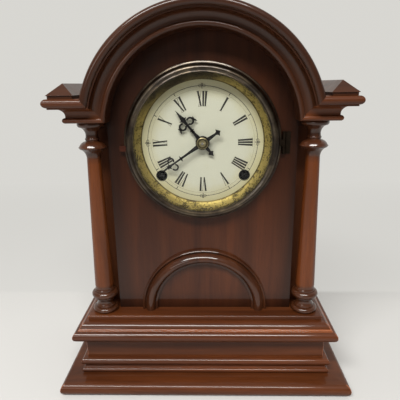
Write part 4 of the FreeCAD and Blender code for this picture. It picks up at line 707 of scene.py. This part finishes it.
def diamond(bm, centre, long, wide, turn, depth):
    """A small leaf-shaped end."""
    along = Vector((math.sin(turn), math.cos(turn)))
    across = Vector((along.y, -along.x))
    middle = Vector(centre)
    outline = [middle - along * long * 0.5, middle + across * wide * 0.5 - along * long * 0.1,
               middle + along * long * 0.5, middle - across * wide * 0.5 - along * long * 0.1]
    flat_shape(bm, outline, depth)


def stand_hand(bm, turn, face_y):
    """Turn a hand drawn pointing up to its hour and put it on the dial's axis."""
    bmesh.ops.recalc_face_normals(bm, faces=bm.faces)
    bmesh.ops.rotate(bm, verts=bm.verts, cent=(0.0, 0.0, 0.0), matrix=Matrix.Rotation(turn, 3, "Y"))
    bmesh.ops.translate(bm, verts=bm.verts, vec=(0.0, face_y, DIAL_CENTRE.z))


def boss(bm, radius, hole, depth):
    """The round middle of a hand, with the hole for its arbor."""
    turned(bm, [(hole, 0.0), (hole, -depth), (radius - depth * 0.4, -depth), (radius, -depth * 0.6), (radius, 0.0)],
           40, Vector((0.0, 0.0, 0.0)))


HANDS = {  # lengths in metres from the middle of the dial, turns of leaves in radians, others in degrees
    "hour": {
        "turn": 320.2, "wire": 1.0, "boss": (0.0064, 0.0021),
        "blade": ((0.0021, 0.0050), (0.0012, 0.0110), (0.0010, 0.0195), (0.0013, 0.0240), (0.0024, 0.0272),
                  (0.0014, 0.0302), (0.0, 0.0385)),
        "tail": ((0.0018, -0.0050), (0.0011, -0.0106), (0.0030, -0.0121), (0.0014, -0.0134), (0.0, -0.0160)),
        "middle_leaves": ((0.0148, 0.0056, 0.0022, math.pi / 2), (0.0130, 0.0042, 0.0018, math.pi / 2)),
        "scroll": (0.0043, 0.0225, 0.0029, 110.0, 290.0),
        "side_leaves": ((0.0082, 0.0229, 0.0034, 0.0018, 0.45), (0.0086, 0.0200, 0.0038, 0.0018, 2.65),
                        (0.0076, 0.0214, 0.0032, 0.0021, math.pi / 2), (0.0024, 0.0272, 0.0036, 0.0014, 1.25)),
    },
    "minute": {
        "turn": 235.2, "wire": 0.8, "boss": (0.0060, 0.0012),
        "blade": ((0.0020, 0.0050), (0.0011, 0.0160), (0.0008, 0.0300), (0.0008, 0.0350), (0.0014, 0.0366),
                  (0.0007, 0.0398), (0.0, 0.0440)),
        "tail": ((0.0020, -0.0050), (0.0010, -0.0146), (0.0016, -0.0160), (0.0037, -0.0168), (0.0017, -0.0182),
                 (0.0, -0.0200)),
        "middle_leaves": ((0.0244, 0.0064, 0.0021, math.pi / 2), (0.0244, 0.0056, 0.0027, 0.0)),
        "scroll": (0.0035, 0.0334, 0.0026, 125.0, 235.0),
        "side_leaves": ((0.0016, 0.0374, 0.0036, 0.0015, 2.1), (0.0013, 0.0392, 0.0026, 0.0012, 0.7)),
    },
}
LOW_ARCH_PROFILE = (  # inward from the arch's outer edge and forward from the panel, in metres
    (0.0005, 0.0), (0.0005, 0.0030), (0.0009, 0.0038), (0.0016, 0.0042), (0.0024, 0.0039), (0.0030, 0.0030),
    (0.0036, 0.0026), (0.0043, 0.0040), (0.0055, 0.0060), (0.0072, 0.0076), (0.0092, 0.0082), (0.0112, 0.0077),
    (0.0127, 0.0062), (0.0135, 0.0044), (0.0137, 0.0034), (0.0150, 0.0032), (0.0158, 0.0029), (0.0160, 0.0022),
    (0.0160, 0.0))
BEZEL_PROFILE = (  # inward from the bezel's rim and forward from its back, in metres
    (0.0, 0.0), (0.0, 0.0018), (0.00015, 0.0023), (0.0006, 0.0026), (0.0013, 0.00265), (0.0017, 0.0030),
    (0.0018, 0.0044), (0.0021, 0.0063), (0.0026, 0.0080), (0.0033, 0.0094), (0.0042, 0.0105), (0.0052, 0.0112),
    (0.0064, 0.0115), (0.0072, 0.0113), (0.0079, 0.01095), (0.0084, 0.01075), (0.0088, 0.0110), (0.0092, 0.0112),
    (0.0096, 0.0111), (0.0098, 0.0108), (0.0098, 0.0102), (0.00635, 0.0102), (0.00635, 0.0086), (0.0078, 0.0086),
    (0.0078, 0.0))


class CLOCK_OT_base(bpy.types.Operator):
    """Base: plinth, mouldings, frieze and deck"""
    bl_idname = "clock.base"
    bl_label = "Base"

    def execute(self, context):
        for node in ("plinth_board", "frieze_board", "base_deck"):
            eased(node, "wood_level", edge="wood_worn_edge_highlight")
        for node in ("lower_base_moulding", "upper_base_moulding"):
            eased(node, "wood_mould", edge="wood_worn_edge_highlight")
        return {"FINISHED"}


class CLOCK_OT_columns(bpy.types.Operator):
    """Two turned columns"""
    bl_idname = "clock.columns"
    bl_label = "Columns"

    def execute(self, context):
        dress("wood_column", "column_left", "column_right")
        return {"FINISHED"}


class CLOCK_OT_cornices(bpy.types.Operator):
    """Cornices with their hipped caps"""
    bl_idname = "clock.cornices"
    bl_label = "Cornices"

    def execute(self, context):
        for side in ("left", "right"):
            eased("cornice_" + side, "wood_level", edge="wood_worn_edge_highlight")
            eased("cornice_cap_" + side, "wood_cap")
        return {"FINISHED"}


class CLOCK_OT_arches(bpy.types.Operator):
    """Arch over the dial and the applied lower arch"""
    bl_idname = "clock.arches"
    bl_label = "Arches"

    def execute(self, context):
        dress("wood_arch", "archivolt")
        low, high = (Vector(corner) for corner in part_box("lower_arch_moulding"))
        spring = Vector((0.0, high.y, high.z - high.x))
        bm = bmesh.new()
        face = bm.faces.new([bm.verts.new((inward - high.x, high.y - forward, low.z))
                             for inward, forward in LOW_ARCH_PROFILE])
        face = self.grow(bm, face, spring.z - low.z)
        ends = bmesh.ops.spin(bm, geom=[face], cent=spring, axis=(0.0, 1.0, 0.0), angle=math.pi, steps=64)["geom_last"]
        self.grow(bm, next(item for item in ends if isinstance(item, bmesh.types.BMFace)), low.z - spring.z)
        bmesh.ops.recalc_face_normals(bm, faces=bm.faces)
        set_down("lower_arch_moulded", bm, "case", "wood_low_arch", ("lower_arch_moulding",), 38.0)
        return {"FINISHED"}

    def grow(self, bm, face, rise):
        """Lengthen a leg of the lower arch from its end face."""
        made = bmesh.ops.extrude_face_region(bm, geom=[face])["geom"]
        bmesh.ops.translate(bm, verts=[item for item in made if isinstance(item, bmesh.types.BMVert)],
                            vec=(0.0, 0.0, rise))
        return next(item for item in made if isinstance(item, bmesh.types.BMFace))


class CLOCK_OT_carcass(bpy.types.Operator):
    """Panel, posts, sides, hood, back and back door"""
    bl_idname = "clock.carcass"
    bl_label = "Carcass"

    def execute(self, context):
        dress("wood_panel", "front_panel")
        dress("wood_hood", "arched_hood")
        for node in ("side_board_left", "side_board_right", "corner_post_left", "corner_post_right"):
            eased(node, "wood_upright")
        eased("back_board", "wood_back")
        eased("back_door", "wood_back", "back_door")
        dress("iron", "door_button", "door_hinge_leaves", "door_hinge_flaps")
        dress("steel", "wood_screws")
        return {"FINISHED"}


class CLOCK_OT_bezel(bpy.types.Operator):
    """Bezel with its glass, hinge and finger tab"""
    bl_idname = "clock.bezel"
    bl_label = "Bezel"

    def execute(self, context):
        high = Vector(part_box("bezel_ring")[1])
        bm = bmesh.new()
        turned(bm, [(high.x - inward, high.y - DIAL_CENTRE.y - forward) for inward, forward in BEZEL_PROFILE], 144)
        bmesh.ops.recalc_face_normals(bm, faces=bm.faces)
        set_down("bezel_ring_rolled", bm, "bezel", "bronze", ("bezel_ring",), 42.0)
        dress("hinge", "bezel_hinge_flap", "bezel_hinge_leaf")
        dress("tab", "bezel_finger_tab")
        dress("glass", "bezel_glass")
        return {"FINISHED"}


class CLOCK_OT_dial(bpy.types.Operator):
    """Painted dial with its numerals, minute track and gilt ring"""
    bl_idname = "clock.dial"
    bl_label = "Dial"

    def execute(self, context):
        sizes = context.scene.clock_sizes
        dress("dial", "dial")
        dress("gilt", "sight_ring")
        heavy = bmesh.new()
        fine = bmesh.new()
        for hour, text in enumerate(NUMERALS):
            numeral(heavy, fine, text, math.radians(30.0 * hour), sizes)
        rim = sizes.track_radius
        for minute in range(60):
            turn = math.radians(6.0 * minute)
            shape, long, width = (fine, sizes.short_tick, 0.5) if minute % 5 else (heavy, sizes.long_tick, 2.2)
            if clear_of_holes(on_dial(turn, rim), sizes.hole_rim):
                bend_round(stroke(shape, (0.0, rim - long), (0.0, rim), sizes.hairline * width), rim, turn)
        track(heavy, rim, sizes.hairline * 1.5, sizes.hole_rim)
        track(fine, rim - sizes.track_gap, sizes.hairline * 0.45, sizes.hole_rim)
        for shape in (heavy, fine):
            clear_holes(shape, sizes.hole_rim)
            thicken(shape, sizes.print_height)
        for quarter in range(4):
            turn = math.radians(90.0 * quarter)
            aside = Vector((math.cos(turn), 0.0, -math.sin(turn))) * sizes.mark_radius * 1.5
            spot = on_dial(turn, rim)
            for loop in (spot - aside, spot + aside):
                ring(heavy, sizes.mark_radius, sizes.hairline * 1.2, sizes.print_height * 1.4, 24, loop)
            bead = on_dial(turn, rim + sizes.mark_bead * 2)
            ring(heavy, sizes.mark_bead, sizes.hairline * 1.6, sizes.print_height * 1.8, 16, bead)
        for hole in HOLES:
            ring(heavy, sizes.hole_rim - 0.0002, 0.0005, sizes.print_height, 40, hole)  # reaches just over the edge
        set_down("dial_numerals", heavy, "case", "ink")
        set_down("dial_hairlines", fine, "case", "faded_ink")
        return {"FINISHED"}


class CLOCK_OT_hands(bpy.types.Operator):
    """Pierced hour and minute hands with their washer"""
    bl_idname = "clock.hands"
    bl_label = "Hands"

    def execute(self, context):
        for name, hand in HANDS.items():
            self.cut_hand(name, hand, context.scene.clock_sizes.scroll_wire * hand["wire"])
        dress("washer", "hand_washer")
        return {"FINISHED"}

    def cut_hand(self, name, hand, wire):
        """Draw a hand pointing up, then turn it to its place at rest."""
        node = name + "_hand"
        low, high = (Vector(corner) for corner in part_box(node))
        depth = high.y - low.y
        bm = bmesh.new()
        boss(bm, *hand["boss"], depth)
        for half in (hand["blade"], hand["tail"]):
            flat_shape(bm, mirrored(half), depth)
        for along, long, wide, turn in hand["middle_leaves"]:
            diamond(bm, (0.0, along), long, wide, turn, depth)
        across, along, radius, start, sweep = hand["scroll"]
        for side in (-1, 1):
            scroll(bm, (side * across, along), radius, math.pi / 2 + side * math.radians(start),
                   side * math.radians(sweep), wire, depth)
            for aside, place, long, wide, turn in hand["side_leaves"]:
                diamond(bm, (side * aside, place), long, wide, side * turn, depth)
        stand_hand(bm, math.radians(hand["turn"]), high.y)
        set_down(node + "_pierced", bm, name, "blued", (node,), 30.0)


class CLOCK_OT_movement(bpy.types.Operator):
    """Movement, pendulum and bell inside the case"""
    bl_idname = "clock.movement"
    bl_label = "Movement"

    def execute(self, context):
        dress("plate", "front_plate")
        dress("brass", "back_plate", "time_second_wheel", "time_third_wheel", "escape_wheel",
              "strike_second_wheel", "strike_third_wheel", "strike_fly", "minute_wheel", "hour_wheel", "pendulum_bob",
              "rating_nut", "suspension_cock", "pillar_nuts")
        dress("winding", "time_great_wheel", "strike_great_wheel")
        dress("steel", "centre_arbor", "plate_pillars", "mainsprings", "suspension_spring", "pendulum_rod",
              "verge_crutch", "strike_hammer")
        dress("bell", "bell")
        dress("iron", "bell_stand")
        return {"FINISHED"}


class CLOCK_OT_stage(bpy.types.Operator):
    """Pale floor, soft light and the camera"""
    bl_idname = "clock.stage"
    bl_label = "Stage"

    def execute(self, context):
        stage = context.scene.clock_stage
        self.lay_floor(stage)
        self.light_room(context.scene, stage)
        self.hang_lamp("front_lamp", stage.key_place, (0.0, -0.03, 0.17), (1.4, 0.34), stage.key_power)
        self.hang_lamp("low_lamp", stage.low_place, (0.0, 0.0, 0.15), (0.7, 0.24), stage.low_power)
        self.set_camera(context.scene, stage)
        return {"FINISHED"}

    def lay_floor(self, stage):
        """A wide floor with a little mottling, so that it isn't one flat tone, and painted shade that darkens it
        towards the front.
        """
        bm = bmesh.new()
        bmesh.ops.create_grid(bm, x_segments=2, y_segments=2, size=4.0)
        mesh = bpy.data.meshes.new("floor")
        bm.to_mesh(mesh)
        bm.free()
        material, tree, shader = start_material("pale_floor")
        base = stage.floor_colour
        place = object_place(tree)
        shade = tint(tree, noise(tree, place, 6.0), colour(base), colour(scaled(base, 0.97)))
        behind = add(tree, "SeparateXYZ", {"Vector": place}).outputs["Y"]
        # painted shade: the floor darkens towards the front
        shade = tint(tree, 1.0, shade, spread(tree, behind, -0.24, -0.80, 1.0, 0.60), "MULTIPLY")
        feed(tree, shader, Base_Color=shade, Roughness=0.7, Specular_IOR_Level=0.2)
        backdrop = add(tree, "Emission", {"Color": colour(stage.wall_colour)})
        beyond = maths(tree, "MULTIPLY", spread(tree, behind, stage.floor_edge - 0.004, stage.floor_edge + 0.004),
                       spread(tree, behind, stage.floor_edge, stage.floor_edge + 0.7, 0.6, 1.0))
        both = add(tree, "MixShader", {0: beyond, 1: shader.outputs[0], 2: backdrop.outputs[0]})
        output = next(node for node in tree.nodes if node.type == "OUTPUT_MATERIAL")
        tree.links.new(both.outputs[0], output.inputs["Surface"])
        mesh.materials.append(material)
        floor = bpy.data.objects.new("floor", mesh)
        bpy.context.scene.collection.objects.link(floor)

    def light_room(self, scene, stage):
        """Room light: pale behind the clock and dimmer in front of it."""
        world = bpy.data.worlds.new("room")
        world.use_nodes = True
        tree = world.node_tree
        tree.nodes.clear()
        parts = add(tree, "SeparateXYZ", {"Vector": room_direction(tree)})
        share = spread(tree, parts.outputs["Y"], -0.35, 0.35)
        shade = tint(tree, share, colour(stage.room_colour), colour(stage.wall_colour))
        light = add(tree, "Background", {"Color": shade, "Strength": 1.0})
        add(tree, "OutputWorld", {"Surface": light.outputs[0]})
        scene.world = world

    def hang_lamp(self, name, spot, target, size, power):
        """A soft rectangular lamp that points at the clock."""
        lamp = bpy.data.lights.new(name, "AREA")
        lamp.shape = "RECTANGLE"
        lamp.size = size[0]
        lamp.size_y = size[1]
        lamp.energy = power
        lamp.color = (1.0, 0.985, 0.955)
        holder = bpy.data.objects.new(name, lamp)
        holder.location = spot
        holder.rotation_euler = (Vector(target) - Vector(spot)).to_track_quat("-Z", "Y").to_euler()
        bpy.context.scene.collection.objects.link(holder)

    def set_camera(self, scene, stage):
        """The camera at the photograph's place."""
        lens = bpy.data.cameras.new("camera")
        lens.sensor_width = 36.0
        lens.lens = stage.lens
        holder = bpy.data.objects.new("camera", lens)
        turn = (Matrix.Rotation(stage.yaw, 4, "Z") @ Matrix.Rotation(math.pi / 2 - stage.pitch, 4, "X")
                @ Matrix.Rotation(stage.roll, 4, "Z"))
        holder.matrix_world = Matrix.Translation(stage.eye) @ turn
        scene.collection.objects.link(holder)
        scene.camera = holder
        scene.view_settings.view_transform = "Standard"


class CLOCK_PT_panel(bpy.types.Panel):
    """Lists the pieces of the clock with their sizes and finishes"""
    bl_idname = "CLOCK_PT_panel"
    bl_label = "Shelf clock"
    bl_space_type = "VIEW_3D"
    bl_region_type = "UI"
    bl_category = "Shelf clock"

    def draw(self, context):
        for operator in OPERATORS:
            self.layout.operator(operator.bl_idname)
        for group in (context.scene.clock_sizes, context.scene.clock_finish, context.scene.clock_stage):
            column = self.layout.column()
            for key in group.__annotations__:
                column.prop(group, key)


OPERATORS = (CLOCK_OT_base, CLOCK_OT_columns, CLOCK_OT_cornices, CLOCK_OT_arches, CLOCK_OT_carcass, CLOCK_OT_bezel,
             CLOCK_OT_dial, CLOCK_OT_hands, CLOCK_OT_movement, CLOCK_OT_stage)
GROUPS = (("clock_sizes", ClockSizes), ("clock_finish", ClockFinish), ("clock_stage", ClockStage))


def register():
    for name, group in GROUPS:
        bpy.utils.register_class(group)
        setattr(bpy.types.Scene, name, bpy.props.PointerProperty(type=group))
    for item in (*OPERATORS, CLOCK_PT_panel):
        bpy.utils.register_class(item)


def unregister():
    for item in (CLOCK_PT_panel, *reversed(OPERATORS)):
        bpy.utils.unregister_class(item)
    for name, group in reversed(GROUPS):
        delattr(bpy.types.Scene, name)
        bpy.utils.unregister_class(group)


def main():
    register()
    for piece in ("base", "columns", "cornices", "arches", "carcass", "bezel", "dial", "hands", "movement", "stage"):
        getattr(bpy.ops.clock, piece)()


if __name__ == "__main__":
    main()
